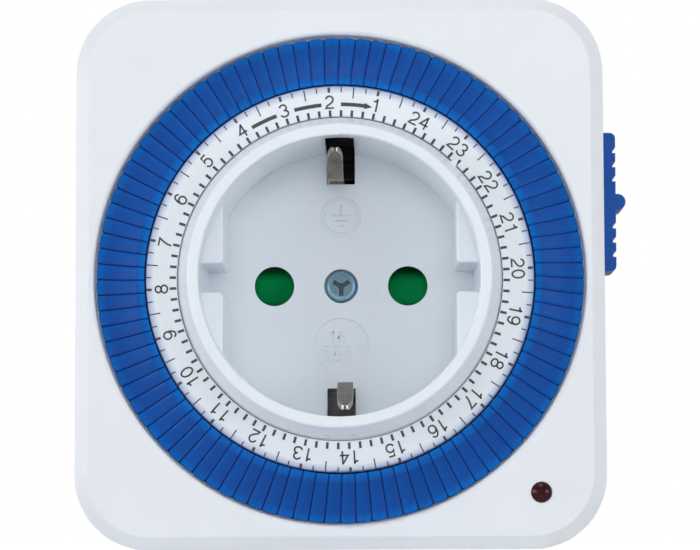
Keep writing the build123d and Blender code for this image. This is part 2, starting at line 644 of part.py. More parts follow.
def rear_cover():
    shell = slab(housing_plan(), SPLIT_Y, BACK_Y)
    back = shell.faces().sort_by(Axis.Y)[-1]
    shell = fillet(back.edges(), BACK_EDGE_ROUND)
    shell += slab(housing_plan(WALL - TONGUE_THICKNESS), SPLIT_Y - TONGUE_DEPTH, SPLIT_Y + SINK)
    shell -= slab(housing_plan(WALL), SPLIT_Y - TONGUE_DEPTH - OVER, INNER_BACK_Y)
    shell += plug_nose()
    boss_inset = WALL / 2
    for at in screw_places():
        shell += disc(BOSS_RADIUS, CHASSIS_BACK_Y, INNER_BACK_Y + SINK, at)
        well_wall = disc(
            HOUSING_HEAD_RADIUS + HEAD_BOSS_WALL, HEAD_SEAT_Y - HEAD_BOSS_FLOOR, INNER_BACK_Y + SINK, at
        )
        shell += well_wall & slab(housing_plan(boss_inset), SPLIT_Y, INNER_BACK_Y + OVER)
    for at in screw_places():
        shell -= disc(HOUSING_SCREW_RADIUS + SCREW_CLEARANCE, CHASSIS_BACK_Y - OVER, BACK_Y + OVER, at)
        shell -= disc(HOUSING_HEAD_RADIUS + HEAD_CLEARANCE, HEAD_SEAT_Y, BACK_Y + OVER, at)
    shell -= slab(nose_hollow_plan(), INNER_BACK_Y - OVER, -NOSE_FACE_THICKNESS)
    shell += disc(CENTRE_BOSS_RADIUS, BOSS_FACE_Y, -NOSE_FACE_THICKNESS + SINK)
    for side in (-1, 1):
        at = (side * PIN_X, 0)
        sleeve_radius = PIN_SHANK_RADIUS + PIN_SLEEVE_WALL
        shell += disc(sleeve_radius, -PIN_SLEEVE_LENGTH, -NOSE_FACE_THICKNESS + SINK, at)
        shell -= disc(PIN_SHANK_RADIUS + THREAD_CLEARANCE, -PIN_SLEEVE_LENGTH - OVER, OVER, at)
        shell -= disc(PIN_RADIUS + THREAD_CLEARANCE, -PIN_RECESS_DEPTH, OVER, at)
        shell -= nose_earth_channel(side)
    shell -= disc(
        CENTRE_SCREW_RADIUS + THREAD_CLEARANCE, BOSS_FACE_Y - OVER, -CENTRE_SCREW_TIP + TIP_ROOM
    )
    return shell - slider_slot()


def housing_screws():
    screw = disc(HOUSING_SCREW_RADIUS, CHASSIS_Y - HOUSING_SCREW_GRIP, HEAD_SEAT_Y)
    head_back_y = HEAD_SEAT_Y + HOUSING_HEAD_THICKNESS
    screw += disc(HOUSING_HEAD_RADIUS, HEAD_SEAT_Y, head_back_y)
    cross = Rectangle(CROSS_LENGTH, CROSS_WIDTH) + Rectangle(CROSS_WIDTH, CROSS_LENGTH)
    screw -= slab(cross, head_back_y - CROSS_DEPTH, head_back_y + OVER)
    return [Pos(x, 0, z) * screw for x, z in screw_places()]


# ---- Socket --------------------------------------------------------------------------------------


def guide_rib():
    """A rib in the cup's upper right that fills the segment between the wall and a chord."""
    reach = RECESS_RIM_RADIUS + SINK
    corner = Rectangle(reach, reach, align=(Align.MIN, Align.MIN))
    segment = Circle(reach) & (Pos(GUIDE_CHORD, GUIDE_GAP / 2) * corner)
    nearest = segment.vertices().sort_by(lambda vertex: vertex.X + vertex.Y)[0]
    segment = fillet(nearest, GUIDE_CORNER)
    rib = slab(segment, RIM_Y + GUIDE_TOP_DEPTH, FLOOR_Y + SINK)
    top_edges = rib.faces().sort_by(Axis.Y)[0].edges()
    free_edges = [edge for edge in top_edges if hypot((edge @ 0.5).X, (edge @ 0.5).Z) < reach - SINK]
    return fillet(free_edges, GUIDE_TOP_ROUND)


def earth_mark():
    """The protective earth sign, sunk into the cup's floor."""
    mark = Circle(EARTH_MARK_OUTER) - Circle(EARTH_MARK_INNER)
    stem_middle = EARTH_MARK_BAR_TOP + EARTH_MARK_STEM / 2
    mark += Pos(0, stem_middle) * Rectangle(EARTH_MARK_LINE, EARTH_MARK_STEM)
    for step in range(3):
        height = EARTH_MARK_BAR_TOP - EARTH_MARK_BAR_PITCH * step
        length = EARTH_MARK_BAR - EARTH_MARK_BAR_TAPER * step
        mark += Pos(0, height) * Rectangle(length, EARTH_MARK_LINE)
    return slab(Pos(0, EARTH_MARK_HEIGHT) * mark, FLOOR_Y - OVER, FLOOR_Y + MARK_DEPTH)


def time_pointer():
    """The small flag at the collar's foot that marks the time of day on the dial."""
    foot = COLLAR_FOOT_RADIUS - POINTER_ROOT
    tip = JOURNAL_RADIUS + POINTER_LENGTH
    half = POINTER_WIDTH / 2
    flag = make_face(Polyline((-half, foot), (half, foot), (0, tip), close=True))
    back_y = PANEL_Y - POINTER_CLEARANCE
    return slab(Rot(0, 0, -POINTER_ANGLE) * flag, back_y - POINTER_THICKNESS, back_y)


def spring_line():
    """Depth and height of the shutter spring's axis."""
    return (SHUTTER_Y + SHUTTER_THICKNESS / 2, -SHUTTER_HUB_RADIUS - SHUTTER_LUG_LENGTH / 2)


def spring_post():
    """The post behind the cup's floor that the shutter spring pushes against."""
    depth, height = spring_line()
    near = -SHUTTER_LUG_WIDTH / 2 - SPRING_LENGTH
    half = SPRING_RADIUS + SPRING_POST_MARGIN
    return block(
        (near - SPRING_POST_WIDTH, near),
        (FLOOR_BACK_Y - SINK, depth + SPRING_RADIUS),
        (height - half, height + half),
    )


def socket_cup():
    cup = turned(
        (0, FLOOR_Y),
        (RECESS_FLOOR_RADIUS, FLOOR_Y),
        (RECESS_RIM_RADIUS, RIM_Y),
        (COLLAR_RIM_RADIUS, RIM_Y),
        (COLLAR_FOOT_RADIUS, PANEL_Y - COLLAR_FOOT_STEP),
        (COLLAR_FOOT_RADIUS, PANEL_Y + 2 * COLLAR_FOOT_STEP),
        (JOURNAL_RADIUS, PANEL_Y + 2 * COLLAR_FOOT_STEP),
        (JOURNAL_RADIUS, CHASSIS_Y),
        (JOURNAL_RADIUS - CUP_SKIRT_WALL, CHASSIS_Y),
        (JOURNAL_RADIUS - CUP_SKIRT_WALL, FLOOR_BACK_Y),
        (0, FLOOR_BACK_Y),
    )
    cup = fillet(cup.edges().filter_by(GeomType.CIRCLE).group_by(Axis.Y)[0], RIM_ROUND)
    rib = guide_rib()
    ribs = [rib, mirror(rib, Plane.YZ), mirror(rib, Plane.XY)]
    cup += ribs + [mirror(ribs[1], Plane.XY)]
    cup += disc(CUP_BOSS_RADIUS, FLOOR_BACK_Y - SINK, EARTH_WEB_Y)
    cup += spring_post()
    half = EARTH_SLOT_WIDTH / 2
    slot_y = RIM_Y + EARTH_SLOT_TOP_DEPTH
    for side in (-1, 1):
        z_range = sorted((side * EARTH_SLOT_INNER, side * EARTH_SLOT_OUTER))
        cup -= block((-half, half), (slot_y, FLOOR_BACK_Y + OVER), z_range)
        z_range = sorted((side * EARTH_SLOT_INNER, side * EARTH_POCKET_OUTER))
        cup -= block((-half, half), (slot_y + EARTH_SLOT_LIP, FLOOR_BACK_Y), z_range)
        cup -= disc(PIN_HOLE_RADIUS, FLOOR_Y - OVER, FLOOR_BACK_Y + OVER, (side * PIN_X, 0))
    cup -= disc(SCREW_WELL_RADIUS, FLOOR_Y - OVER, FLOOR_Y + SCREW_WELL_DEPTH)
    cup -= disc(CENTRE_SCREW_RADIUS + SCREW_CLEARANCE, FLOOR_Y - OVER, EARTH_WEB_Y + OVER)
    cup -= earth_mark()
    cup -= disc(RATING_MARK_RADIUS, FLOOR_Y - OVER, FLOOR_Y + MARK_DEPTH, (0, RATING_MARK_HEIGHT))
    return cup + time_pointer()


def centre_screw():
    """The screw in the cup's floor, domed, with a recess of three lobes, one pointing down."""
    head_radius = SCREW_WELL_RADIUS - CENTRE_HEAD_CLEARANCE
    seat_y = FLOOR_Y + SCREW_WELL_DEPTH
    head_y = FLOOR_Y + CENTRE_HEAD_SUNK
    screw = disc(head_radius, head_y, seat_y)
    screw = fillet(screw.edges().group_by(Axis.Y)[0], CENTRE_HEAD_ROUND)
    screw += disc(CENTRE_SCREW_RADIUS, seat_y - SINK, -CENTRE_SCREW_TIP)
    lobe = Pos(0, LOBE_LENGTH / 2) * Rectangle(LOBE_WIDTH, LOBE_LENGTH)
    recess = Circle(LOBE_HUB_RADIUS)
    recess += [Rot(0, 0, 180 + 360 * turn / LOBES) * lobe for turn in range(LOBES)]
    return screw - slab(recess, head_y - OVER, head_y + LOBE_DEPTH)


# ---- Shutter -------------------------------------------------------------------------------------


def shutter_ramp(side):
    """The wedge cut from a wing's front, so that an entering pin turns the shutter."""
    half = SHUTTER_RADIUS * sin(radians(SHUTTER_HALF_ANGLE)) + SINK
    wedge = make_face(
        Polyline(
            (SHUTTER_Y - OVER, side * half),
            (SHUTTER_Y + SHUTTER_RAMP, side * half),
            (SHUTTER_Y, -side * half * RAMP_SHARE),
            (SHUTTER_Y - OVER, -side * half * RAMP_SHARE),
            close=True,
        )
    )
    run = SHUTTER_RADIUS - SHUTTER_HUB_RADIUS + OVER
    start_x = SHUTTER_HUB_RADIUS if side > 0 else -SHUTTER_HUB_RADIUS - run
    return extrude(side_plane(start_x) * wedge, amount=run)


def shutter():
    half_chord = SHUTTER_RADIUS * tan(radians(SHUTTER_HALF_ANGLE))
    wings = make_face(
        Polyline(
            (-SHUTTER_RADIUS, -half_chord),
            (0, 0),
            (SHUTTER_RADIUS, -half_chord),
            (SHUTTER_RADIUS, half_chord),
            (0, WING_NECK),
            (-SHUTTER_RADIUS, half_chord),
            close=True,
        )
    )
    plan = Circle(SHUTTER_HUB_RADIUS) + (wings & Circle(SHUTTER_RADIUS))
    lug_bottom = -SHUTTER_HUB_RADIUS - SHUTTER_LUG_LENGTH
    plan += Pos(0, lug_bottom / 2) * Rectangle(SHUTTER_LUG_WIDTH, -lug_bottom)
    plate = slab(plan, SHUTTER_Y, SHUTTER_BACK_Y)
    for side in (-1, 1):
        plate -= shutter_ramp(side)
    bore = CUP_BOSS_RADIUS + SHUTTER_BORE_CLEARANCE
    return plate - disc(bore, SHUTTER_Y - OVER, SHUTTER_BACK_Y + OVER)


def shutter_spring():
    depth, height = spring_line()
    length = SPRING_LENGTH - 2 * SPRING_WIRE_RADIUS
    coil = Helix(
        pitch=length / SPRING_TURNS,
        height=length,
        radius=SPRING_RADIUS - SPRING_WIRE_RADIUS,
        center=(-SHUTTER_LUG_WIDTH / 2 - SPRING_LENGTH + SPRING_WIRE_RADIUS, depth, height),
        direction=(1, 0, 0),
    )
    start = Plane(origin=coil @ 0, z_dir=coil % 0)
    return sweep(start * Circle(SPRING_WIRE_RADIUS), path=coil, is_frenet=True)


# ---- Gears ---------------------------------------------------------------------------------------


def involute(angle):
    return tan(angle) - angle


def gear_plan(teeth, module):
    """A spur gear's outline with one tooth centred on +X."""
    pitch = teeth * module / 2
    base = pitch * cos(radians(PRESSURE_ANGLE))
    tip = pitch + TOOTH_ADDENDUM * module
    root = pitch - TOOTH_DEDENDUM * module
    half_at_pitch = (pi * module / 2 - BACKLASH) / 2 / pitch
    flank_radii = (root, max(root, base) + ROOT_STEP, pitch, tip)

    def half_angle(radius):
        flank = involute(acos(min(1.0, base / radius)))
        return degrees(half_at_pitch + involute(radians(PRESSURE_ANGLE)) - flank)

    points = []
    for tooth in range(teeth):
        centre = 360 * tooth / teeth
        points += [polar(radius, centre - half_angle(radius)) for radius in flank_radii]
        points += [polar(radius, centre + half_angle(radius)) for radius in flank_radii[::-1]]
    return make_face(Polyline(*points, close=True))


def meshed_phase(phase, teeth, direction, other_teeth):
    """The turn that puts another gear's gap on this gear's tooth, in the given direction."""
    share = (direction - phase) * teeth / 360
    return direction + 180 - (0.5 - share) * 360 / other_teeth


def gear(teeth, module, phase, front_y, thickness, at=(0, 0)):
    plan = Pos(*at) * Rot(0, 0, phase) * gear_plan(teeth, module)
    return slab(plan, front_y, front_y + thickness)


def drive_phase():
    return meshed_phase(0, DIAL_TEETH, DRIVE_DIRECTION, DRIVE_TEETH)


def idler_phase():
    return meshed_phase(drive_phase(), CLUTCH_TEETH, IDLER_DIRECTION, IDLER_PINION_TEETH)


def motor_phase():
    return meshed_phase(idler_phase(), IDLER_TEETH, MOTOR_DIRECTION, MOTOR_TEETH)


def drive_pinion():
    """The pinion, its arbor and the collar that the clutch spring bears on."""
    collar_y = CLUTCH_Y + WHEEL_THICKNESS + 2 * CLUTCH_DISH
    pinion_y = DIAL_BACK_Y - PINION_FACE
    arbor = gear(DRIVE_TEETH, DIAL_MODULE, drive_phase(), pinion_y, PINION_FACE, DRIVE)
    arbor += disc(ARBOR_RADIUS, pinion_y, PLATE_BACK_Y - PIVOT_INSET, DRIVE)
    return arbor + disc(COLLAR_RADIUS, collar_y, collar_y + COLLAR_THICKNESS, DRIVE)


def clutch_wheel():
    wheel = gear(CLUTCH_TEETH, WHEEL_MODULE, drive_phase(), CLUTCH_Y, WHEEL_THICKNESS, DRIVE)
    return wheel - disc(ARBOR_RADIUS + BEARING_CLEARANCE, CLUTCH_Y - OVER, PLATE_Y, DRIVE)


def clutch_spring():
    """A dished washer between the clutch wheel and the arbor's collar."""
    bore = ARBOR_RADIUS + 2 * BEARING_CLEARANCE
    outer = COLLAR_RADIUS + CLUTCH_SPRING_MARGIN
    front_y = CLUTCH_Y + WHEEL_THICKNESS
    washer = turned(
        (bore, front_y + CLUTCH_DISH),
        (outer, front_y),
        (outer, front_y + CLUTCH_DISH),
        (bore, front_y + 2 * CLUTCH_DISH),
    )
    return Pos(DRIVE[0], 0, DRIVE[1]) * washer


def idler_gear():
    idler = gear(
        IDLER_PINION_TEETH, WHEEL_MODULE, idler_phase(), CLUTCH_Y, IDLER_Y - CLUTCH_Y, IDLER
    )
    idler += gear(IDLER_TEETH, WHEEL_MODULE, idler_phase(), IDLER_Y, WHEEL_THICKNESS, IDLER)
    shoulder_y = IDLER_Y + WHEEL_THICKNESS
    idler += disc(SHOULDER_RADIUS, shoulder_y - SINK, PLATE_Y - END_PLAY, IDLER)
    idler += disc(SHOULDER_RADIUS, CHASSIS_BACK_Y + END_PLAY, CLUTCH_Y + SINK, IDLER)
    pivots = disc(PIVOT_RADIUS, CHASSIS_BACK_Y - PIVOT_DEPTH, PLATE_BACK_Y - PIVOT_INSET, IDLER)
    return idler + pivots


def motor_pinion():
    """The output shaft, with its pinion in front and the gearbox's last wheel inside the can."""
    pinion_y = IDLER_Y - MOTOR_PINION_OVERHANG
    length = WHEEL_THICKNESS + 2 * MOTOR_PINION_OVERHANG
    shaft = gear(MOTOR_TEETH, WHEEL_MODULE, motor_phase(), pinion_y, length, MOTOR)
    inside_y = PLATE_BACK_Y + MOTOR_WALL
    shaft += disc(ARBOR_RADIUS, pinion_y, inside_y + OUTPUT_SHAFT_REACH, MOTOR)
    flange_y = inside_y + END_PLAY
    return shaft + disc(OUTPUT_FLANGE_RADIUS, flange_y, flange_y + OUTPUT_FLANGE_THICKNESS, MOTOR)


# ---- Motor ---------------------------------------------------------------------------------------


def motor_can():
    back_y = PLATE_BACK_Y + MOTOR_DEPTH
    inner_y = PLATE_BACK_Y + MOTOR_WALL
    bulkhead_y = inner_y + GEARBOX_DEPTH - MOTOR_WALL
    can = disc(MOTOR_RADIUS, PLATE_BACK_Y, back_y, MOTOR)
    can -= disc(MOTOR_RADIUS - MOTOR_WALL, inner_y, bulkhead_y, MOTOR)
    can -= disc(MOTOR_RADIUS - MOTOR_WALL, bulkhead_y + MOTOR_WALL, back_y - MOTOR_WALL, MOTOR)
    can -= disc(ARBOR_RADIUS + BEARING_CLEARANCE, PLATE_BACK_Y - OVER, inner_y + SINK, MOTOR)
    can -= disc(PIVOT_RADIUS + BEARING_CLEARANCE, bulkhead_y - SINK, back_y + OVER, MOTOR)
    width, depth, height = TERMINAL_BLOCK
    near_x = MOTOR[0] + MOTOR_RADIUS - TERMINAL_ROOT
    middle_y = (PLATE_BACK_Y + back_y) / 2
    terminals = block(
        (near_x, near_x + width),
        (middle_y - depth / 2, middle_y + depth / 2),
        (MOTOR[1] - height / 2, MOTOR[1] + height / 2),
    )
    terminals -= disc(MOTOR_RADIUS - SINK, middle_y - depth, middle_y + depth, MOTOR)
    return can + terminals


def rotor_front_y():
    return PLATE_BACK_Y + MOTOR_WALL + GEARBOX_DEPTH


def motor_coil():
    outer = MOTOR_RADIUS - MOTOR_WALL - COIL_CLEARANCE
    front_y = rotor_front_y()
    return ring(outer, COIL_INNER_RADIUS, front_y, front_y + COIL_LENGTH, MOTOR)


def motor_rotor():
    magnet_y = rotor_front_y() + (COIL_LENGTH - ROTOR_LENGTH) / 2
    rotor = disc(ROTOR_RADIUS, magnet_y, magnet_y + ROTOR_LENGTH, MOTOR)
    shaft_y = rotor_front_y() - MOTOR_WALL - SHAFT_END
    return rotor + disc(PIVOT_RADIUS, shaft_y, PLATE_BACK_Y + MOTOR_DEPTH - SHAFT_END, MOTOR)


# ---- Dial ----------------------------------------------------------------------------------------


def tappet_angles():
    """Clockwise angles of the tappets' middles, hour by hour."""
    pitch = 360 / (HOURS * TAPPETS_PER_HOUR)
    starts = [TAPPET_PHASE - hour * 360 / HOURS for hour in range(HOURS)]
    return [[start + pitch * quarter for quarter in range(TAPPETS_PER_HOUR)] for start in starts]


def stem_slots():
    length = STEM_OUTER_RADIUS - STEM_INNER_RADIUS + 4 * STEM_SLOT_CLEARANCE
    middle = (STEM_OUTER_RADIUS + STEM_INNER_RADIUS) / 2
    slot = Pos(0, middle) * Rectangle(STEM_WIDTH + 2 * STEM_SLOT_CLEARANCE, length)
    return [Rot(0, 0, -angle) * slot for hour in tappet_angles() for angle in hour]


def dial_ring():
    gear_y = DIAL_BACK_Y - PINION_FACE
    body = turned(
        (DIAL_BORE, PANEL_Y),
        (DIAL_FACE_RADIUS, PANEL_Y),
        (DIAL_FACE_RADIUS, CARRIER_Y),
        (CARRIER_RADIUS - CARRIER_RIM_WALL, CARRIER_Y),
        (CARRIER_RADIUS - CARRIER_RIM_WALL, CARRIER_RIM_Y),
        (CARRIER_RADIUS, CARRIER_RIM_Y),
        (CARRIER_RADIUS, CARRIER_BACK_Y),
        (DIAL_HUB_RADIUS, CARRIER_BACK_Y),
        (DIAL_HUB_RADIUS, DIAL_BACK_Y),
        (DIAL_BORE, DIAL_BACK_Y),
    )
    face_edges = body.edges().filter_by(GeomType.CIRCLE).group_by(Axis.Y)[0]
    body = fillet(face_edges.sort_by(SortBy.RADIUS)[-1], DIAL_EDGE_ROUND)
    hollow_radius = DIAL_FACE_RADIUS - DIAL_WEB_WALL
    body -= ring(hollow_radius, DIAL_HUB_RADIUS, PANEL_Y + DIAL_THICKNESS, CARRIER_Y)
    teeth = gear(DIAL_TEETH, DIAL_MODULE, 0, gear_y, PINION_FACE)
    body += teeth - disc(DIAL_HUB_RADIUS - SINK, gear_y - OVER, DIAL_BACK_Y + OVER)
    return body - [slab(slot, CARRIER_Y - OVER / 2, CARRIER_BACK_Y + OVER) for slot in stem_slots()]


def tappet_side_view(head_back_y):
    """The head's side: a land at each end and a shallow dish between, falling outwards."""
    inner = TAPPET_INNER_RADIUS - OVER
    outer = TAPPET_OUTER_RADIUS + OVER
    low_y = PANEL_Y + TAPPET_DROP
    start = (PANEL_Y, TAPPET_INNER_RADIUS + TAPPET_END_LAND)
    end = (low_y, TAPPET_OUTER_RADIUS - TAPPET_END_LAND)
    middle = ((start[0] + end[0]) / 2 + TAPPET_DISH, (start[1] + end[1]) / 2)
    dish = ThreePointArc(start, middle, end)
    rest = Polyline(
        end, (low_y, outer), (head_back_y, outer), (head_back_y, inner), (PANEL_Y, inner), start
    )
    return make_face(Curve() + [dish, rest])


def tappet():
    """One tappet at the top of the dial: a head that a fingernail presses, and its stem."""
    half_pitch = radians(180 / (HOURS * TAPPETS_PER_HOUR))
    outer_half = TAPPET_OUTER_RADIUS * tan(half_pitch) - TAPPET_GAP / 2
    inner_half = TAPPET_INNER_RADIUS * tan(half_pitch) - TAPPET_GAP / 2
    lean = TAPPET_INNER_RADIUS * radians(TAPPET_SKEW) / 2
    outer_z = sqrt(TAPPET_OUTER_RADIUS ** 2 - (outer_half + lean) ** 2)
    plan = make_face(
        Polyline(
            (-inner_half - lean, TAPPET_INNER_RADIUS),
            (inner_half - lean, TAPPET_INNER_RADIUS),
            (outer_half + lean, outer_z),
            (-outer_half + lean, outer_z),
            close=True,
        )
    )
    plan = fillet(plan.vertices().group_by(Axis.Y)[-1], TAPPET_CORNER)
    head_back_y = PANEL_Y + TAPPET_HEAD_DEPTH
    head = slab(plan, PANEL_Y - OVER, head_back_y)
    width = 2 * TAPPET_OUTER_RADIUS * tan(half_pitch)
    head &= extrude(side_plane(-width) * tappet_side_view(head_back_y), amount=2 * width)
    stem = block(
        (-STEM_WIDTH / 2, STEM_WIDTH / 2),
        (head_back_y - SINK, STEM_END_Y),
        (STEM_INNER_RADIUS, STEM_OUTER_RADIUS),
    )
    return head + stem


# ---- Earth and live contacts ---------------------------------------------------------------------


def earth_clip():
    """The upper spring clip: up through the floor, in towards the plug and out at the tip."""
    root_y = EARTH_WEB_Y + STRIP_THICKNESS / 2
    foot = EARTH_SLOT_OUTER - CLIP_FOOT_MARGIN
    throat = EARTH_SLOT_INNER + CLIP_THROAT_MARGIN
    route = [
        (0, root_y, foot - CLIP_ROOT),
        (0, root_y, foot),
        (0, RIM_Y + CLIP_THROAT_DEPTH, throat),
        (0, RIM_Y + CLIP_TIP_DEPTH, throat + CLIP_FLARE),
    ]
    clip = bent_strip(route, CLIP_WIDTH, (1, 0, 0))
    tip_y = RIM_Y + CLIP_TIP_DEPTH + CLIP_TIP_ROUND
    outline = Pos(0, tip_y) * Ellipse(CLIP_WIDTH / 2, CLIP_TIP_ROUND)
    outline += Pos(0, tip_y) * Rectangle(
        CLIP_WIDTH, BLOCK_Y - tip_y + OVER, align=(Align.CENTER, Align.MIN)
    )
    return clip & extrude(Plane.XY * outline, amount=throat + CLIP_FLARE + OVER)


def earth_bridge():
    """The socket's earth: a web across the back of the cup with a spring clip at each end."""
    foot = EARTH_SLOT_OUTER - CLIP_FOOT_MARGIN
    web = block(
        (-EARTH_WEB_WIDTH / 2, EARTH_WEB_WIDTH / 2),
        (EARTH_WEB_Y, BLOCK_Y),
        (CLIP_ROOT / 2 - foot, foot - CLIP_ROOT / 2),
    )
    bridge = web - disc(CENTRE_SCREW_RADIUS + SCREW_CLEARANCE, EARTH_WEB_Y - OVER, BLOCK_Y + OVER)
    clip = earth_clip()
    bridge += Pos(-CLIP_OFFSET, 0, 0) * clip
    return bridge + Pos(CLIP_OFFSET, 0, 0) * mirror(clip, Plane.XY)


def plug_earth_strap():
    """The plug's earth: a web in front of the nose with a side contact at each end."""
    middle_y = PLUG_STRAP_Y + STRIP_THICKNESS / 2
    leg_z = EARTH_LEG_INNER + STRIP_THICKNESS / 2
    bump_y = -NOSE_LENGTH / 2
    route = [
        (0, middle_y, 0),
        (0, middle_y, leg_z),
        (0, bump_y - EARTH_LEG_BUMP_REACH, leg_z),
        (0, bump_y, leg_z + EARTH_LEG_BUMP),
        (0, bump_y + EARTH_LEG_BUMP_REACH, leg_z),
        (0, -EARTH_LEG_END, leg_z),
    ]
    leg = bent_strip(route, EARTH_LEG_WIDTH, (1, 0, 0), bend=TIGHT_BEND)
    strap = leg + mirror(leg, Plane.XY)
    return strap - disc(CENTRE_SCREW_RADIUS + SCREW_CLEARANCE, PLUG_STRAP_Y - OVER, BOSS_FACE_Y + OVER)


def pin_clip(pin_x, plate_y):
    """A U of sheet metal on a plate, whose two leaves grip a plug's pin."""
    middle_y = plate_y + STRIP_THICKNESS / 2
    mouth_y = BLOCK_Y + PIN_CLIP_INSET
    outside = PIN_CLIP_OPEN + STRIP_THICKNESS / 2
    pinch = PIN_CLIP_PINCH + STRIP_THICKNESS / 2
    half_route = [
        (outside, mouth_y),
        (pinch, mouth_y + PIN_CLIP_MOUTH),
        (outside, mouth_y + PIN_CLIP_THROAT),
        (outside, middle_y),
    ]
    route = [(pin_x - x, y, 0) for x, y in half_route]
    route += [(pin_x + x, y, 0) for x, y in half_route[::-1]]
    return bent_strip(route, PIN_CLIP_WIDTH, (0, 0, 1))


def rivet_hole(pin_x):
    return disc(RIVET_RADIUS + THREAD_CLEARANCE, INLET_PLATE_Y - OVER, PIN_BASE_Y + OVER, (pin_x, 0))


def wire_tab(pin_x):
    """A tab below a plug pin's plate that a wire is soldered to."""
    half = TERMINAL_WIDTH / 2
    return block(
        (pin_x - half, pin_x + half),
        (INLET_PLATE_Y, PIN_BASE_Y),
        (-BLOCK_HALF_Z - WIRE_TAB_REACH, -PIN_CLIP_WIDTH / 2 + SINK),
    )


def neutral_contact():
    """Joins the left plug pin straight to the left socket contact."""
    contact = pin_clip(-PIN_X, INLET_PLATE_Y) + wire_tab(-PIN_X)
    return contact - rivet_hole(-PIN_X)


def live_inlet_strip():
    """From the right plug pin to the switch."""
    strip_x = PIN_X + INLET_STRIP_OFFSET
    middle_y = INLET_PLATE_Y + STRIP_THICKNESS / 2
    run_y = SWITCH_BACK_Y + INLET_STRIP_GAP
    half = TERMINAL_WIDTH / 2
    plate = block(
        (PIN_X - half, PIN_X + half),
        (INLET_PLATE_Y, PIN_BASE_Y),
        (-PIN_CLIP_WIDTH / 2, INLET_STRIP_Z + half),
    )
    route = [
        (PIN_X, middle_y, INLET_STRIP_Z),
        (strip_x, middle_y, INLET_STRIP_Z),
        (strip_x, run_y, INLET_STRIP_Z),
        (SWITCH_X, run_y, INLET_STRIP_Z),
        (SWITCH_X, TERMINAL_END_Y, INLET_STRIP_Z),
    ]
    strip = plate + bent_strip(route, TERMINAL_WIDTH, (0, 0, 1)) + wire_tab(PIN_X)
    return strip - rivet_hole(PIN_X)


def live_outlet_contact():
    """From the switch to the right socket contact."""
    half = TERMINAL_WIDTH / 2
    leg_x = PIN_X - OUTLET_LEG_OFFSET
    middle_y = OUTLET_PLATE_Y + STRIP_THICKNESS / 2
    leg = block(
        (leg_x - half, leg_x + half),
        (OUTLET_PLATE_Y, OUTLET_PLATE_Y + STRIP_THICKNESS),
        (0, OUTLET_STRIP_Z + half),
    )
    route = [
        (leg_x, middle_y, OUTLET_STRIP_Z),
        (SWITCH_X, middle_y, OUTLET_STRIP_Z),
        (SWITCH_X, TERMINAL_END_Y, OUTLET_STRIP_Z),
    ]
    return pin_clip(PIN_X, OUTLET_PLATE_Y) + leg + bent_strip(route, TERMINAL_WIDTH, (0, 0, 1))


def plug_pins():
    pin = turned(
        (0, PIN_BASE_Y),
        (PIN_SHANK_RADIUS, PIN_BASE_Y),
        (PIN_SHANK_RADIUS, 0),
        (PIN_RADIUS, 0),
        (PIN_RADIUS, PIN_LENGTH - PIN_TIP_LENGTH),
        (PIN_TIP_RADIUS, PIN_LENGTH),
        (0, PIN_LENGTH),
    )
    pin = fillet(pin.edges().filter_by(GeomType.CIRCLE).group_by(Axis.Y)[-1], PIN_TIP_RADIUS / 2)
    pin += disc(RIVET_RADIUS, INLET_PLATE_Y - RIVET_HEAD, PIN_BASE_Y + SINK)
    return [Pos(side * PIN_X, 0, 0) * pin for side in (-1, 1)]


def contact_carrier():
    """The insulating block that holds the socket contacts behind the shutter."""
    body = block(
        (-BLOCK_HALF_X, BLOCK_HALF_X), (BLOCK_Y, PLUG_STRAP_Y), (-BLOCK_HALF_Z, BLOCK_HALF_Z)
    )
    body = fillet(body.edges().filter_by(Axis.Y), BLOCK_CORNER)
    pocket = Rectangle(2 * POCKET_HALF_X, 2 * POCKET_HALF_Z)
    body -= slab(Pos(-PIN_X, 0) * pocket, BLOCK_Y - OVER, PLUG_STRAP_Y + OVER)
    body -= slab(Pos(PIN_X, 0) * pocket, BLOCK_Y - OVER, BARRIER_Y)
    leg_x = PIN_X - OUTLET_LEG_OFFSET
    half = TERMINAL_WIDTH / 2 + STRIP_CLEARANCE
    leg_room = (OUTLET_PLATE_Y - OVER, BARRIER_Y)
    body -= block((leg_x - half, leg_x + half), leg_room, (0, BLOCK_HALF_Z + OVER))
    return body - disc(CENTRE_SCREW_RADIUS + SCREW_CLEARANCE, BLOCK_Y - OVER, PLUG_STRAP_Y + OVER)


# ---- Chassis and gear plate ----------------------------------------------------------------------


def carriage_range():
    """The lowest and highest point of the mode slider's carriage."""
    top = SLIDER_Z + SLIDER_STEM_LENGTH / 2
    return (top - CARRIAGE_LENGTH, top)


def lever_ears():
    """The two ears in front of the chassis that carry the lever's pin."""
    outer_x = LEVER_HUB_INNER_X + LEVER_HUB_LENGTH + EAR_CLEARANCE
    inner_x = LEVER_HUB_INNER_X - EAR_CLEARANCE - EAR_THICKNESS
    front_y = LEVER_Y - LEVER_PIN_RADIUS - EAR_MARGIN
    z_range = (LEVER_Z - EAR_HALF_LENGTH, LEVER_Z + EAR_HALF_LENGTH)
    y_range = (front_y, CHASSIS_Y + SINK)
    ears = [block((x, x + EAR_THICKNESS), y_range, z_range) for x in (inner_x, outer_x)]
    far_x = outer_x + EAR_THICKNESS + OVER
    bore = cross_pin(LEVER_PIN_RADIUS + BEARING_CLEARANCE, inner_x - OVER, far_x)
    return [ear - bore for ear in ears]


def cross_pin(radius, from_x, to_x):
    """A cylinder along the lever's axis."""
    return extrude(side_plane(from_x) * Pos(LEVER_Y, LEVER_Z) * Circle(radius), amount=to_x - from_x)


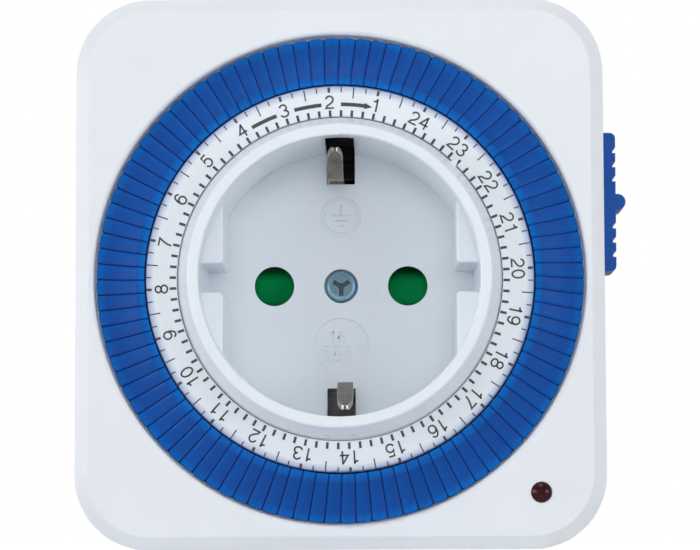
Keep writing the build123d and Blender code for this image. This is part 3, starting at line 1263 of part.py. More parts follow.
def switch_seats():
    half_x = SWITCH_WIDTH / 2
    low = SWITCH_Z - SWITCH_LENGTH / 2
    high = SWITCH_Z + SWITCH_LENGTH / 2
    return [
        block((SWITCH_X - half_x, SWITCH_X + half_x), (CHASSIS_BACK_Y - SINK, SWITCH_Y), z_range)
        for z_range in ((low, low + SWITCH_SEAT_LENGTH), (high - SWITCH_SEAT_LENGTH, high))
    ]


def chassis():
    plate = slab(housing_plan(WALL + CHASSIS_FIT), CHASSIS_Y, CHASSIS_BACK_Y)
    plate -= disc(CHASSIS_BORE, CHASSIS_Y - OVER, CHASSIS_BACK_Y + OVER)
    low, high = carriage_range()
    plate -= block(
        (INNER_X - CHASSIS_FIT - CARRIAGE_THICKNESS - SLIDE_CLEARANCE, HOUSING_WIDTH),
        (CHASSIS_Y - OVER, CHASSIS_BACK_Y + OVER),
        (low - SLIDER_TRAVEL - CHASSIS_FIT, high + CHASSIS_FIT),
    )
    plate += lever_ears() + switch_seats()
    plate += [disc(PILLAR_RADIUS, CHASSIS_BACK_Y - SINK, PLATE_Y, at) for at in PILLARS]
    holes = [
        disc(HOUSING_SCREW_RADIUS + SCREW_CLEARANCE, CHASSIS_Y - OVER, CHASSIS_BACK_Y + OVER, at)
        for at in screw_places()
    ]
    holes += [
        disc(MOVEMENT_SCREW_RADIUS + THREAD_CLEARANCE, CHASSIS_BACK_Y, PLATE_Y + OVER, at)
        for at in PILLARS
    ]
    holes += [
        disc(ARBOR_RADIUS + BEARING_CLEARANCE, CHASSIS_Y - OVER, CHASSIS_BACK_Y + OVER, DRIVE),
        disc(PIVOT_RADIUS + BEARING_CLEARANCE, CHASSIS_BACK_Y - PIVOT_DEPTH - END_PLAY, PLATE_Y, IDLER),
        disc(PLUNGER_RADIUS + PLUNGER_HOLE_CLEARANCE, CHASSIS_Y - OVER, SWITCH_Y, (SWITCH_X, PLUNGER_Z)),
        disc(LEAD_SPACING / 2 + 2 * LEAD_RADIUS, CHASSIS_Y - OVER, CHASSIS_BACK_Y + OVER, LAMP),
    ]
    return plate - holes


def rear_gear_plate():
    corners = Sketch() + [Pos(*at) * Circle(PILLAR_RADIUS + PLATE_MARGIN) for at in PILLARS]
    plate = slab(make_hull(corners.edges()), PLATE_Y, PLATE_BACK_Y)
    front_y, back_y = PLATE_Y - OVER, PLATE_BACK_Y + OVER
    plate -= [disc(MOVEMENT_SCREW_RADIUS + SCREW_CLEARANCE, front_y, back_y, at) for at in PILLARS]
    plate -= [disc(BOSS_RADIUS + CHASSIS_FIT, front_y, back_y, at) for at in screw_places()]
    plate -= disc(ARBOR_RADIUS + BEARING_CLEARANCE, front_y, back_y, DRIVE)
    plate -= disc(PIVOT_RADIUS + BEARING_CLEARANCE, front_y, back_y, IDLER)
    return plate - disc(ARBOR_RADIUS + SHAFT_HOLE_CLEARANCE, front_y, back_y, MOTOR)


def movement_screws():
    head_back_y = PLATE_BACK_Y + MOVEMENT_HEAD_THICKNESS
    screw = disc(MOVEMENT_SCREW_RADIUS, PLATE_BACK_Y - MOVEMENT_SCREW_LENGTH, PLATE_BACK_Y + SINK)
    screw += disc(MOVEMENT_HEAD_RADIUS, PLATE_BACK_Y, head_back_y)
    slot = Rectangle(2 * MOVEMENT_HEAD_RADIUS, DRIVER_SLOT_WIDTH)
    screw -= slab(slot, head_back_y - DRIVER_SLOT_DEPTH, head_back_y + OVER)
    return [Pos(x, 0, z) * screw for x, z in PILLARS]


# ---- Mode slider, lever and switch ---------------------------------------------------------------


def slider_face_plan():
    """The outer plate's outline: notched for grip, with a round knob in the middle."""
    near_x = HOUSING_SIDE_X + SLIDER_STAND_OFF
    far_x = near_x + SLIDER_THICKNESS
    align = (Align.MIN, Align.CENTER)
    plan = Pos(near_x, SLIDER_Z) * Rectangle(SLIDER_THICKNESS, SLIDER_LENGTH, align=align)
    plan = fillet(plan.vertices().group_by(Axis.X)[-1], SLIDER_END_ROUND)
    for side in (-1, 1):
        for notch in range(NOTCHES_PER_SIDE):
            height = SLIDER_Z + side * (NOTCH_FIRST + notch * NOTCH_PITCH)
            plan -= Pos(far_x - NOTCH_DEPTH, height) * Rectangle(1, NOTCH_WIDTH, align=align)
    knob_x = far_x + KNOB_HEIGHT - KNOB_RADIUS
    plan += Pos(knob_x, SLIDER_Z) * Circle(KNOB_RADIUS)
    return plan + Pos(near_x, SLIDER_Z) * Rectangle(knob_x - near_x, 2 * KNOB_RADIUS, align=align)


def slider_finger(back_y):
    """The finger before the chassis that holds the lever's tail forward, with its ramp."""
    top = LEVER_Z - LEVER_TAIL_REACH + FINGER_RAMP + SLIDE_CLEARANCE
    profile = make_face(
        Polyline(
            (FINGER_Y, top - FINGER_LENGTH),
            (FINGER_Y, top - FINGER_RAMP),
            (back_y, top),
            (back_y, top - FINGER_LENGTH),
            close=True,
        )
    )
    length = INNER_X - CHASSIS_FIT - FINGER_INNER_X
    return extrude(side_plane(FINGER_INNER_X) * profile, amount=length)


def mode_slider():
    half_stem = SLIDER_STEM_LENGTH / 2
    stem_back_y = SPLIT_Y - SLIDE_CLEARANCE
    low, high = carriage_range()
    carriage_x = INNER_X - CHASSIS_FIT
    slider = slab(slider_face_plan(), SLIDER_Y, SLIDER_Y + SLIDER_WIDTH)
    slider += block(
        (carriage_x - SINK, HOUSING_SIDE_X + SLIDER_STAND_OFF + SINK),
        (stem_back_y - SLIDER_STEM_DEPTH, stem_back_y),
        (SLIDER_Z - half_stem, SLIDER_Z + half_stem),
    )
    carriage_y = (FINGER_Y, stem_back_y)
    slider += block((carriage_x - CARRIAGE_THICKNESS, carriage_x), carriage_y, (low, high))
    return slider + slider_finger(CHASSIS_Y - FINGER_BACK_CLEARANCE)


def follower_lever():
    """Feels the pushed tappets with its nose and works the switch with its arm."""
    outer_x = LEVER_HUB_INNER_X + LEVER_HUB_LENGTH
    nose_x, nose_z = lever_nose()
    ends = Pos(outer_x - LEVER_HUB_RADIUS - SINK, LEVER_Z) * Circle(LEVER_HUB_RADIUS)
    ends += Pos(nose_x, nose_z) * Circle(LEVER_NOSE_SIZE / 2 - SINK)
    lever = slab(make_hull(ends.edges()), LEVER_FRONT_Y, LEVER_BACK_Y)
    lever += cross_pin(LEVER_HUB_RADIUS, LEVER_HUB_INNER_X, outer_x)
    half = LEVER_NOSE_SIZE / 2
    lever += block(
        (nose_x - half, nose_x + half),
        (LEVER_NOSE_Y, LEVER_BACK_Y),
        (nose_z - half, nose_z + half),
    )
    lever += block(
        (FINGER_INNER_X, FINGER_INNER_X + LEVER_TAIL_WIDTH),
        (LEVER_FRONT_Y, LEVER_BACK_Y),
        (LEVER_Z - LEVER_TAIL_REACH, LEVER_Z),
    )
    bore = LEVER_PIN_RADIUS + BEARING_CLEARANCE
    return lever - cross_pin(bore, LEVER_HUB_INNER_X - OVER, outer_x + OVER)


def lever_pin():
    reach = EAR_CLEARANCE + EAR_THICKNESS + PIN_STAND
    outer_x = LEVER_HUB_INNER_X + LEVER_HUB_LENGTH
    return cross_pin(LEVER_PIN_RADIUS, LEVER_HUB_INNER_X - reach, outer_x + reach)


def switch_body():
    half_x, half_z = SWITCH_WIDTH / 2, SWITCH_LENGTH / 2
    body = block(
        (SWITCH_X - half_x, SWITCH_X + half_x),
        (SWITCH_Y, SWITCH_BACK_Y),
        (SWITCH_Z - half_z, SWITCH_Z + half_z),
    )
    body -= block(
        (SWITCH_X - half_x + SWITCH_WALL, SWITCH_X + half_x - SWITCH_WALL),
        (SWITCH_Y + SWITCH_WALL, SWITCH_BACK_Y - SWITCH_WALL),
        (SWITCH_Z - half_z + SWITCH_WALL, SWITCH_Z + half_z - SWITCH_WALL),
    )
    half_strip = STRIP_THICKNESS / 2 + PLUNGER_CLEARANCE
    half_width = TERMINAL_WIDTH / 2 + PLUNGER_CLEARANCE
    for height in (INLET_STRIP_Z, OUTLET_STRIP_Z):
        body -= block(
            (SWITCH_X - half_strip, SWITCH_X + half_strip),
            (SWITCH_BACK_Y - SWITCH_WALL - OVER, SWITCH_BACK_Y + OVER),
            (height - half_width, height + half_width),
        )
    front_y, wall_back_y = SWITCH_Y - OVER, SWITCH_Y + SWITCH_WALL + SINK
    return body - disc(PLUNGER_RADIUS + PLUNGER_CLEARANCE, front_y, wall_back_y, (SWITCH_X, PLUNGER_Z))


def plunger_flange_y():
    return SWITCH_Y + SWITCH_WALL + PLUNGER_TRAVEL + PLUNGER_CLEARANCE


def plunger_end_y():
    return plunger_flange_y() + PLUNGER_FLANGE_THICKNESS + PLUNGER_TAIL


def switch_plunger():
    at = (SWITCH_X, PLUNGER_Z)
    flange_y = plunger_flange_y()
    plunger = disc(PLUNGER_RADIUS, LEVER_BACK_Y + PLUNGER_CLEARANCE, plunger_end_y(), at)
    return plunger + disc(PLUNGER_FLANGE_RADIUS, flange_y, flange_y + PLUNGER_FLANGE_THICKNESS, at)


def switch_blade():
    """The contact spring, pressed back on the outlet strip by the plunger."""
    resting_y = TERMINAL_END_Y - BLADE_THICKNESS / 2
    raised_y = plunger_end_y() + PLUNGER_CLEARANCE + BLADE_THICKNESS / 2
    route = [
        (SWITCH_X, resting_y, INLET_STRIP_Z - BLADE_END),
        (SWITCH_X, resting_y, INLET_STRIP_Z + BLADE_END),
        (SWITCH_X, raised_y, PLUNGER_Z - BLADE_FLAT),
        (SWITCH_X, raised_y, PLUNGER_Z + BLADE_FLAT),
        (SWITCH_X, resting_y, OUTLET_STRIP_Z - BLADE_END),
        (SWITCH_X, resting_y, OUTLET_STRIP_Z + BLADE_END),
    ]
    return bent_strip(route, BLADE_WIDTH, (1, 0, 0), BLADE_THICKNESS, bend=TIGHT_BEND)


# ---- Lamp ----------------------------------------------------------------------------------------


def indicator_lens():
    """A clear cap through the panel, domed in front, with a flange behind."""
    dome = (LENS_RADIUS ** 2 + LENS_STAND ** 2) / (2 * LENS_STAND)
    half_turn = asin(LENS_RADIUS / dome) / 2
    front_y = PANEL_Y - LENS_STAND
    dome_middle = (dome * sin(half_turn), front_y + dome * (1 - cos(half_turn)))
    outline = Curve() + [
        ThreePointArc((0, front_y), dome_middle, (LENS_RADIUS, PANEL_Y)),
        Polyline(
            (LENS_RADIUS, PANEL_Y),
            (LENS_RADIUS, PANEL_BACK_Y),
            (LENS_FLANGE_RADIUS, PANEL_BACK_Y),
            (LENS_FLANGE_RADIUS, LENS_BACK_Y),
            (0, LENS_BACK_Y),
            (0, front_y),
        ),
    ]
    return Pos(LAMP_X, 0, LAMP_Z) * revolve(make_face(outline), Axis.Y)


def resistor_y():
    return CHASSIS_BACK_Y + RESISTOR_CLEARANCE + RESISTOR_RADIUS


def lamp_end_y():
    return resistor_y() + RESISTOR_RADIUS


def indicator_lamp():
    back_y = LAMP_Y + LAMP_LENGTH
    glass = disc(LAMP_RADIUS, LAMP_Y, back_y)
    glass = fillet(glass.edges().group_by(Axis.Y)[0], LAMP_DOME_ROUND)
    leads = [
        disc(LEAD_RADIUS, back_y - SINK, lamp_end_y(), (side * LEAD_SPACING / 2, 0))
        for side in (-1, 1)
    ]
    return Pos(LAMP_X, 0, LAMP_Z) * (glass + leads)


def lamp_resistor():
    """Lies along X beside the lamp, and its right lead meets the lamp's left one."""
    right_x = LAMP_X - RESISTOR_GAP
    left_x = right_x - RESISTOR_LENGTH
    lead_end_x = LAMP_X - LEAD_SPACING / 2 - LEAD_RADIUS
    centre = Pos(resistor_y(), LAMP_Z)
    body = extrude(side_plane(left_x) * centre * Circle(RESISTOR_RADIUS), amount=RESISTOR_LENGTH)
    body = fillet(body.edges(), RESISTOR_ROUND)
    start_x = left_x - RESISTOR_LEAD
    return body + extrude(
        side_plane(start_x) * centre * Circle(LEAD_RADIUS), amount=lead_end_x - start_x
    )


# ---- Wires ---------------------------------------------------------------------------------------


def wire(*points):
    """A round insulated wire of straight runs and the largest arcs that they allow."""
    runs = [(Vector(*b) - Vector(*a)).length for a, b in zip(points, points[1:])]
    radii = []
    for index in range(1, len(points) - 1):
        arriving = Vector(*points[index]) - Vector(*points[index - 1])
        leaving = Vector(*points[index + 1]) - Vector(*points[index])
        half_turn = radians(arriving.get_angle(leaving)) / 2
        radii.append(WIRE_BEND_SHARE * min(runs[index - 1], runs[index]) / tan(half_turn))
    path = FilletPolyline(*points, radius=radii)
    return sweep(Plane(origin=path @ 0, z_dir=path % 0) * Circle(WIRE_RADIUS), path=path)


def internal_wires():
    """The motor's pair, and the lamp's pair by way of the resistor."""
    tab_z = -BLOCK_HALF_Z - WIRE_TAB_REACH / 2
    motor_middle_y = PLATE_BACK_Y + MOTOR_DEPTH / 2
    neutral_y, live_y = motor_middle_y - TERMINAL_SPACING / 2, motor_middle_y + TERMINAL_SPACING / 2
    terminal_x = MOTOR[0] + MOTOR_RADIUS - TERMINAL_ROOT + TERMINAL_BLOCK[0]
    terminal_top = MOTOR[1] + TERMINAL_BLOCK[2] / 2
    entry_x = terminal_x - TERMINAL_BLOCK[0] / 2
    lamp_wire_x = LAMP_X - RESISTOR_GAP - RESISTOR_LENGTH - RESISTOR_LEAD / 2
    lead_x = LAMP_X + LEAD_SPACING / 2
    motor_neutral = wire(
        (-PIN_X, INLET_PLATE_Y, tab_z),
        (-PIN_X, neutral_y, tab_z),
        (entry_x, neutral_y, tab_z - NEUTRAL_WIRE_DROP),
        (entry_x, neutral_y, terminal_top),
    )
    motor_live = wire(
        (PIN_X, INLET_PLATE_Y, tab_z),
        (PIN_X, live_y, tab_z),
        (entry_x, live_y, tab_z - LIVE_WIRE_DROP),
        (entry_x, live_y, terminal_top),
    )
    lamp_live = wire(
        (lamp_wire_x, OUTLET_PLATE_Y, OUTLET_STRIP_Z),
        (lamp_wire_x, OUTLET_PLATE_Y - LAMP_WIRE_START, OUTLET_STRIP_Z),
        (lamp_wire_x, OUTLET_PLATE_Y - LAMP_WIRE_HIGH[0], LAMP_WIRE_HIGH[1]),
        (lamp_wire_x, OUTLET_PLATE_Y - LAMP_WIRE_LOW[0], LAMP_WIRE_LOW[1]),
        (lamp_wire_x, resistor_y(), LAMP_WIRE_END_Z),
        (lamp_wire_x, resistor_y(), LAMP_Z + LEAD_RADIUS),
    )
    lamp_neutral = wire(
        (lead_x, lamp_end_y(), LAMP_Z),
        (lead_x, neutral_y, LAMP_Z),
        (entry_x + LAMP_WIRE_REACH, neutral_y, MOTOR[1]),
        (terminal_x, neutral_y, MOTOR[1]),
    )
    return [motor_neutral, motor_live, lamp_live, lamp_neutral]


# ---- The nodes -----------------------------------------------------------------------------------


def tappet_nodes():
    one = tappet()
    nodes = {}
    for hour, angles in enumerate(tappet_angles(), start=1):
        nodes[f"tappets_hour_{hour:02d}"] = [Rot(0, angle, 0) * one for angle in angles]
    return nodes


def nodes():
    found = {
        "front_cover": front_cover(),
        "rear_cover": rear_cover(),
        "socket_cup": socket_cup(),
        "dial_ring": dial_ring(),
        "shutter": shutter(),
        "shutter_spring": shutter_spring(),
        "earth_bridge": earth_bridge(),
        "plug_earth_strap": plug_earth_strap(),
        "neutral_contact": neutral_contact(),
        "live_inlet_strip": live_inlet_strip(),
        "live_outlet_contact": live_outlet_contact(),
        "plug_pins": plug_pins(),
        "contact_carrier": contact_carrier(),
        "centre_screw": centre_screw(),
        "housing_screws": housing_screws(),
        "chassis": chassis(),
        "rear_gear_plate": rear_gear_plate(),
        "movement_screws": movement_screws(),
        "drive_pinion": drive_pinion(),
        "clutch_wheel": clutch_wheel(),
        "clutch_spring": clutch_spring(),
        "idler_gear": idler_gear(),
        "motor_pinion": motor_pinion(),
        "motor_can": motor_can(),
        "motor_coil": motor_coil(),
        "motor_rotor": motor_rotor(),
        "mode_slider": mode_slider(),
        "follower_lever": follower_lever(),
        "lever_pin": lever_pin(),
        "switch_body": switch_body(),
        "switch_plunger": switch_plunger(),
        "switch_blade": switch_blade(),
        "indicator_lens": indicator_lens(),
        "indicator_lamp": indicator_lamp(),
        "lamp_resistor": lamp_resistor(),
        "internal_wires": internal_wires(),
    }
    return found | tappet_nodes()


os.makedirs("parts", exist_ok=True)
for name, shape in nodes().items():
    pieces = shape if isinstance(shape, list) else [shape]
    export_step(Compound(children=[Compound(piece.wrapped) for piece in pieces]), f"parts/{name}.step")
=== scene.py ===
"""Looks of the plug-in timer switch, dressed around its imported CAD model. Lengths are in mm."""

import json
from math import cos, hypot, radians, sin, tan

import bpy
from mathutils import Matrix, Vector


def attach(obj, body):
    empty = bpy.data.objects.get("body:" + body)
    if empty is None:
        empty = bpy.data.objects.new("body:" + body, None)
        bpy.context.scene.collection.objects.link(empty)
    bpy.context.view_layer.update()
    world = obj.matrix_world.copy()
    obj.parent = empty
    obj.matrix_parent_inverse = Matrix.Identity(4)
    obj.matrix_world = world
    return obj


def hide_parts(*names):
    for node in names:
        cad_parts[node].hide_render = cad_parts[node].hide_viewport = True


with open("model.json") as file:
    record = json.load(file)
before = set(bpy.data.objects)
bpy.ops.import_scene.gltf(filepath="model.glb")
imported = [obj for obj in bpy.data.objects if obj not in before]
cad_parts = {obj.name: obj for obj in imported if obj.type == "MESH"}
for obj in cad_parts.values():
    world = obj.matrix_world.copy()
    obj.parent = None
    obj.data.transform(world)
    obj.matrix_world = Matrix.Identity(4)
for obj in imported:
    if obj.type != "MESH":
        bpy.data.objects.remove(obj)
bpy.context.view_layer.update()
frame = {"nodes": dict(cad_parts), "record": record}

MM = 0.001
PANEL_Y = -55.5                 # the panel's face, and the dial's
RATING_DISC_Y = -42.35          # the sunk disc in the cup's floor
STANDING_Z = -37.4              # the housing's underside

# ---- Camera: a long lens, low and square to the front -----------------------------------------
CAMERA_AT = (5.56, -455.0, -36.1)
FOCAL_PIXELS = 2906.0
IMAGE_WIDTH = 700
IMAGE_HEIGHT = 550
SENSOR_WIDTH = 36.0
VANISHING_PIXEL = (381.3, 540.4)  # where lines along the depth meet
ROLL = 0.2                      # degrees, the object's right side stands higher
VIEW_DEPTHS = (0.01, 20.0)      # metres, between which the camera sees

# ---- Dial print: radii and widths in mm, angles in degrees clockwise from the top ---------------
PRINT_CENTRE = (-0.03, -0.12)   # the pad print sits a little off the dial's axis
PRINT_THICKNESS = 0.015
FIRST_HOUR_ANGLE = 11.9
HOURS = 24
QUARTERS = 4                    # ticks, and tappets, to an hour
QUARTER_ANGLE = 360 / (HOURS * QUARTERS)
INNER_TICK = (22.6, 23.5)
QUARTER_TICK = (26.0, 26.72)
HALF_HOUR_TICK = (25.2, 26.72)
THICK_LINE = 0.36
THIN_LINE = 0.17
FIGURE_RADIUS = 24.66
FIGURE_HEIGHT = 1.84
FIGURE_ADVANCE = 0.84           # of the figures' height
FIGURE_LINE = 0.13              # of the figures' height
ARROW_RADIUS = 24.32
ARROW_HALF_WIDTH = 0.26
ARROW_HEAD_HALF_WIDTH = 0.44
ARROW_BARS = ((-29.8, -20.9), (-14.8, -5.8), (0.6, 8.3))
ARROW_BAR_STEPS = 8
ARROW_TIP_ANGLE = 10.9
ARROW_TIP_WIDTH = 0.01

# ---- Tappets: mm and degrees --------------------------------------------------------------------
TAPPET_SPAN = (27.01, 33.75)    # radii of the inner and outer ends
TAPPET_PHASE = -2.025           # the first tappet of hour 1, clockwise from the top
TAPPET_SKEW = 0.6               # the inner ends lag the outer ends by this angle
TAPPET_SEAM_GAP = 0.04
TAPPET_DROP = 1.4               # the outer end lies this far below the inner end
TAPPET_LAND = 1.2               # flat at each end, with the dish between
TAPPET_DISH = 0.3
TAPPET_HEAD_DEPTH = 3.6
TAPPET_CORNER = 0.42            # round at the outer end, seen from the front
TAPPET_CORNER_STEPS = (0, 25, 45, 62, 76, 84)
TAPPET_DISH_STEPS = 12
TAPPET_CHAMFER = 0.1
TAPPET_FLANK_WIDTH = 0.42       # the clockwise side falls away over this width
TAPPET_FLANK_DROP = 0.13
TAPPET_SHARP_ANGLE = 12         # edges that turn by more than this stay sharp
TAPPET_STEM = (28.76, 32.45)    # radii of its two sides
TAPPET_STEM_HALF_WIDTH = 0.35
TAPPET_STEM_END = 9.2           # behind the dial's face

# ---- Colours of the tappets and the dial's edge, with their painted light and shade: linear, radii in mm ---
TAPPET_LEAN = 0.27              # degrees, the inner ends lag and the outer ends lead by this
TAPPET_START = 1.04             # tappets between the top and a seam, counting clockwise
TAPPET_MIDDLE_WIDTH = (0.02, 0.05)  # share of a tappet's width, where its line begins and ends
TAPPET_SEAM_WIDTH = (0.04, 0.1)
# Painted light on the tappets: a highlight on both ends, shade and a violet reflection across each, shade
# in the seams, and highlights along the edges.
TAPPET_BLUE = (0.001, 0.105, 0.46, 1)
TAPPET_VIOLET = (0.008, 0.068, 0.33, 1)
TAPPET_BRIGHT = (0.0, 0.145, 0.55, 1)
TAPPET_DEEP = (0.003, 0.05, 0.26, 1)
TAPPET_SEAM = (0.008, 0.04, 0.25, 1)
TAPPET_EDGE_GLINT = (0.08, 0.25, 0.6, 1)
DIAL_TINT = (25.7, 26.8)        # the tappets' blue shines on the dial's edge
DIAL_TINT_COLOUR = (0.36, 0.44, 0.66, 1)
DIAL_DARK = (26.6, 26.9)        # the shade beside the tappets' inner ends
DIAL_DARK_COLOUR = (0.1, 0.14, 0.32, 1)
DIAL_FACE_END = (27.0, 27.05)   # beyond this lies only the carrier behind the tappets
CARRIER_COLOUR = (0.86, 0.89, 0.94, 1)

# ---- Depths and hollows with painted shade: mm, linear colours ----------------------------------
FAR = 100.0                     # beyond the object
# the colour of the painted shade in depths and hollows
PAINTED_SHADE = (0.012, 0.012, 0.014, 1)
SLOT_HALF_WIDTH = 2.05
SLOT_INNER = 14.5
SLOT_OUTER = 21.75
SLOT_SHADE_Y = -56.9            # painted shade on the slots' walls from this depth
CUP_RADIUS = 19.36
HOLE_SHADE_Y = -42.2            # just behind the cup's floor
PIN_X = 9.5
PIN_HOLE_RADIUS = 2.9
NOSE_HOLLOW_RADIUS = 16.45
NOSE_HOLLOW_HALF_WIDTH = 14.2
NOSE_HOLLOW_Y = -3.95
BACK_SHADE = (-24.0, -17.6)     # depths between the contacts and the housing's back wall
SHUTTER_GREEN = (0.0, 0.33, 0.09, 1)
SHUTTER_DEEP = (0.0, 0.25, 0.066, 1)
SHUTTER_DARK = (0.0, 0.022, 0.008, 1)
SHUTTER_SHADE = (1.0, 2.3)      # heights over which the shade of a hole's upper edge deepens
SHUTTER_LOW_SHADE = (-2.5, -1.9)  # and those over which the lower edge's shade ends
RECESS_REACH = 1.5              # radius of the centre screw's recess
RECESS_DEPTHS = (-42.1, -41.2)

# ---- Rating disc: raised figures on the cup's floor ---------------------------------------------
RATING_CENTRE = (-0.6, -8.5)    # of the figures, left of the disc's middle
RATING_HEIGHT = 1.65
RATING_ADVANCES = (0.8, 0.9)    # of the amperes and the volts, in figure heights
RATING_LINE = 0.2
RATING_ROW = 1.3                # from the bar to the middle of the figures
RATING_BAR = 4.1
RATING_WAVE = (2.75, 3.35, 3.95)  # start, middle and end of the wave right of the bar
RATING_RELIEF = 0.15

# ---- Strokes and finishes -----------------------------------------------------------------------
ARC_STEP = 9.0                  # degrees between the points of a figure's arcs
SAME_POINT = 1e-6
SHARPEST_MITRE = 0.5            # the cosine beyond which a stroke's corner is cut short
BEVEL_SAMPLES = 4

# ---- Studio, in metres and watts ---------------------------------------------------------------
LIT_POINT = (0.0, -0.05, 0.0)
LAMPS = (                       # name, place, size, power, and whether its reflection is seen
    ("front", (0.0, -1.3, 0.1), 0.6, 4.1, False),
    ("left", (-1.0, -0.35, 0.05), 0.5, 3.07, True),
    ("near_top", (0.0, -0.2, 0.35), 0.2, 0.34, True),
    ("near_left", (-0.35, -0.3, 0.0), 0.2, 0.47, True),
    ("near_right", (0.35, -0.3, 0.0), 0.2, 0.67, True),
    ("low", (0.0, -0.8, -0.5), 0.5, 0.6, False),
    ("high", (0.0, -0.8, 0.8), 0.5, 0.7, False),
    ("back", (0.0, 1.3, 0.6), 0.6, 2.4, False),
)
WORLD_LIGHT = 0.2
WORLD_COLOUR = (0.97, 0.98, 1.0, 1)
WALL_FADE = (-0.1, 0.3)         # the white wall's soft edge, along the depth of a direction
FLOOR_REACH = 6.0
FLOOR_TONES = ((0.86, 0.86, 0.86, 1), (0.9, 0.9, 0.9, 1))
FLOOR_GLOW = 0.8


def new_object(name, points, faces, material):
    """A mesh object of one material, in the scene."""
    mesh = bpy.data.meshes.new(name)
    mesh.from_pydata(points, [], faces)
    mesh.validate()
    mesh.update()
    mesh.materials.append(material)
    made = bpy.data.objects.new(name, mesh)
    bpy.context.scene.collection.objects.link(made)
    return made


# ---- Flat strokes ------------------------------------------------------------------------------


def arc(centre_x, centre_y, radius_x, radius_y, start, end):
    """Points along an ellipse from one angle to another, counter-clockwise from +x."""
    steps = max(2, round(abs(end - start) / ARC_STEP))
    turns = [radians(start + (end - start) * step / steps) for step in range(steps + 1)]
    return [(centre_x + radius_x * cos(turn), centre_y + radius_y * sin(turn)) for turn in turns]


def six(flip):
    """The centre lines of a 6, or turned over, of a 9."""
    bowl = arc(0.0, -0.165, 0.275, 0.29, 0, 360)
    stem = arc(0.02, -0.06, 0.295, 0.515, 42, 192)
    return [[(flip * x, flip * y) for x, y in line] for line in (bowl, stem)]


def figure(digit):
    """Centre lines of a light sans-serif figure, one unit high about the origin."""
    if digit == "0":
        return [arc(0, 0, 0.285, 0.455, 0, 360)]
    if digit == "1":
        return [[(-0.2, 0.27), (-0.02, 0.3), (0.05, 0.38), (0.08, 0.5)], [(0.08, 0.5), (0.08, -0.5)]]
    if digit == "2":
        hook = arc(0.0, 0.185, 0.27, 0.27, 172, -30)
        return [hook + [(0.1, -0.1), (-0.18, -0.27), (-0.28, -0.455), (0.31, -0.455)]]
    if digit == "3":
        upper = arc(-0.01, 0.225, 0.25, 0.23, 165, -90)
        return [upper, arc(-0.01, -0.22, 0.29, 0.235, 90, -168)]
    if digit == "4":
        return [[(0.13, 0.47), (-0.3, -0.17), (0.33, -0.17)], [(0.13, 0.5), (0.13, -0.5)]]
    if digit == "5":
        return [[(0.25, 0.455), (-0.17, 0.455), (-0.23, 0.0)] + arc(-0.01, -0.155, 0.29, 0.3, 140, -160)]
    if digit == "7":
        return [[(-0.29, 0.455), (0.29, 0.455), (0.08, 0.12), (-0.06, -0.2), (-0.11, -0.5)]]
    if digit == "8":
        return [arc(0, 0.235, 0.24, 0.22, 0, 360), arc(0, -0.215, 0.285, 0.24, 0, 360)]
    return six(1 if digit == "6" else -1)


def ribbon(line, width):
    """The outline of a flat stroke along a centre line: its left points, then its right points."""
    closed = hypot(line[0][0] - line[-1][0], line[0][1] - line[-1][1]) < SAME_POINT
    points = line[:-1] if closed else line
    left, right = [], []
    for index, (x, y) in enumerate(points):
        before = points[index - 1] if closed or index else points[0]
        after = points[(index + 1) % len(points)] if closed or index < len(points) - 1 else points[-1]
        arriving = Vector((x - before[0], y - before[1]))
        leaving = Vector((after[0] - x, after[1] - y))
        arriving = arriving.normalized() if arriving.length else leaving.normalized()
        leaving = leaving.normalized() if leaving.length else arriving
        along = (arriving + leaving).normalized()
        reach = width / 2 / max(SHARPEST_MITRE, along.dot(leaving))
        left.append((x - along.y * reach, y + along.x * reach))
        right.append((x + along.y * reach, y - along.x * reach))
    return left, right, closed


class Relief:
    """A mesh of flat strokes standing a little proud of a face that looks to the front."""

    def __init__(self, face_y, thickness):
        self.back_y = face_y
        self.front_y = face_y - thickness
        self.points = []
        self.faces = []

    def add(self, left, right, closed, place):
        """One stroke, given its two sides and the rule that puts a flat point on the face."""
        count = len(left)
        first = len(self.points)
        for y in (self.front_y, self.back_y):
            for x, z in left + right:
                x, z = place(x, z)
                self.points.append((x * MM, y * MM, z * MM))
        front_left, front_right = first, first + count
        back_left, back_right = first + 2 * count, first + 3 * count
        for index in range(count if closed else count - 1):
            after = (index + 1) % count
            self.faces += [
                (front_left + index, front_right + index, front_right + after, front_left + after),
                (back_left + after, back_right + after, back_right + index, back_left + index),
                (front_left + index, front_left + after, back_left + after, back_left + index),
                (front_right + after, front_right + index, back_right + index, back_right + after),
            ]
        if not closed:
            last = count - 1
            self.faces += [
                (front_right, front_left, back_left, back_right),
                (front_left + last, front_right + last, back_right + last, back_left + last),
            ]

    def line(self, points, width, place):
        """A stroke of one width along a centre line."""
        self.add(*ribbon(points, width), place)

    def words(self, text, height, line, advance, place):
        """Figures in a row about the origin."""
        for index, digit in enumerate(text):
            shift = (index - (len(text) - 1) / 2) * advance
            for stroke in figure(digit):
                moved = [((x + shift) * height, y * height) for x, y in stroke]
                self.line(moved, line * height, place)

    def piece(self, name, body, material, slot):
        """The finished relief, riding on a body."""
        piece = new_object(name, self.points, self.faces, material)
        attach(piece, body)


def around_dial(angle):
    """Puts flat points on the dial: y outwards, x clockwise, at an angle clockwise from the top."""
    turn = radians(angle)

    def place(x, y):
        across = x * cos(turn) + y * sin(turn) + PRINT_CENTRE[0]
        return across, y * cos(turn) - x * sin(turn) + PRINT_CENTRE[1]

    return place


# ---- Materials ---------------------------------------------------------------------------------


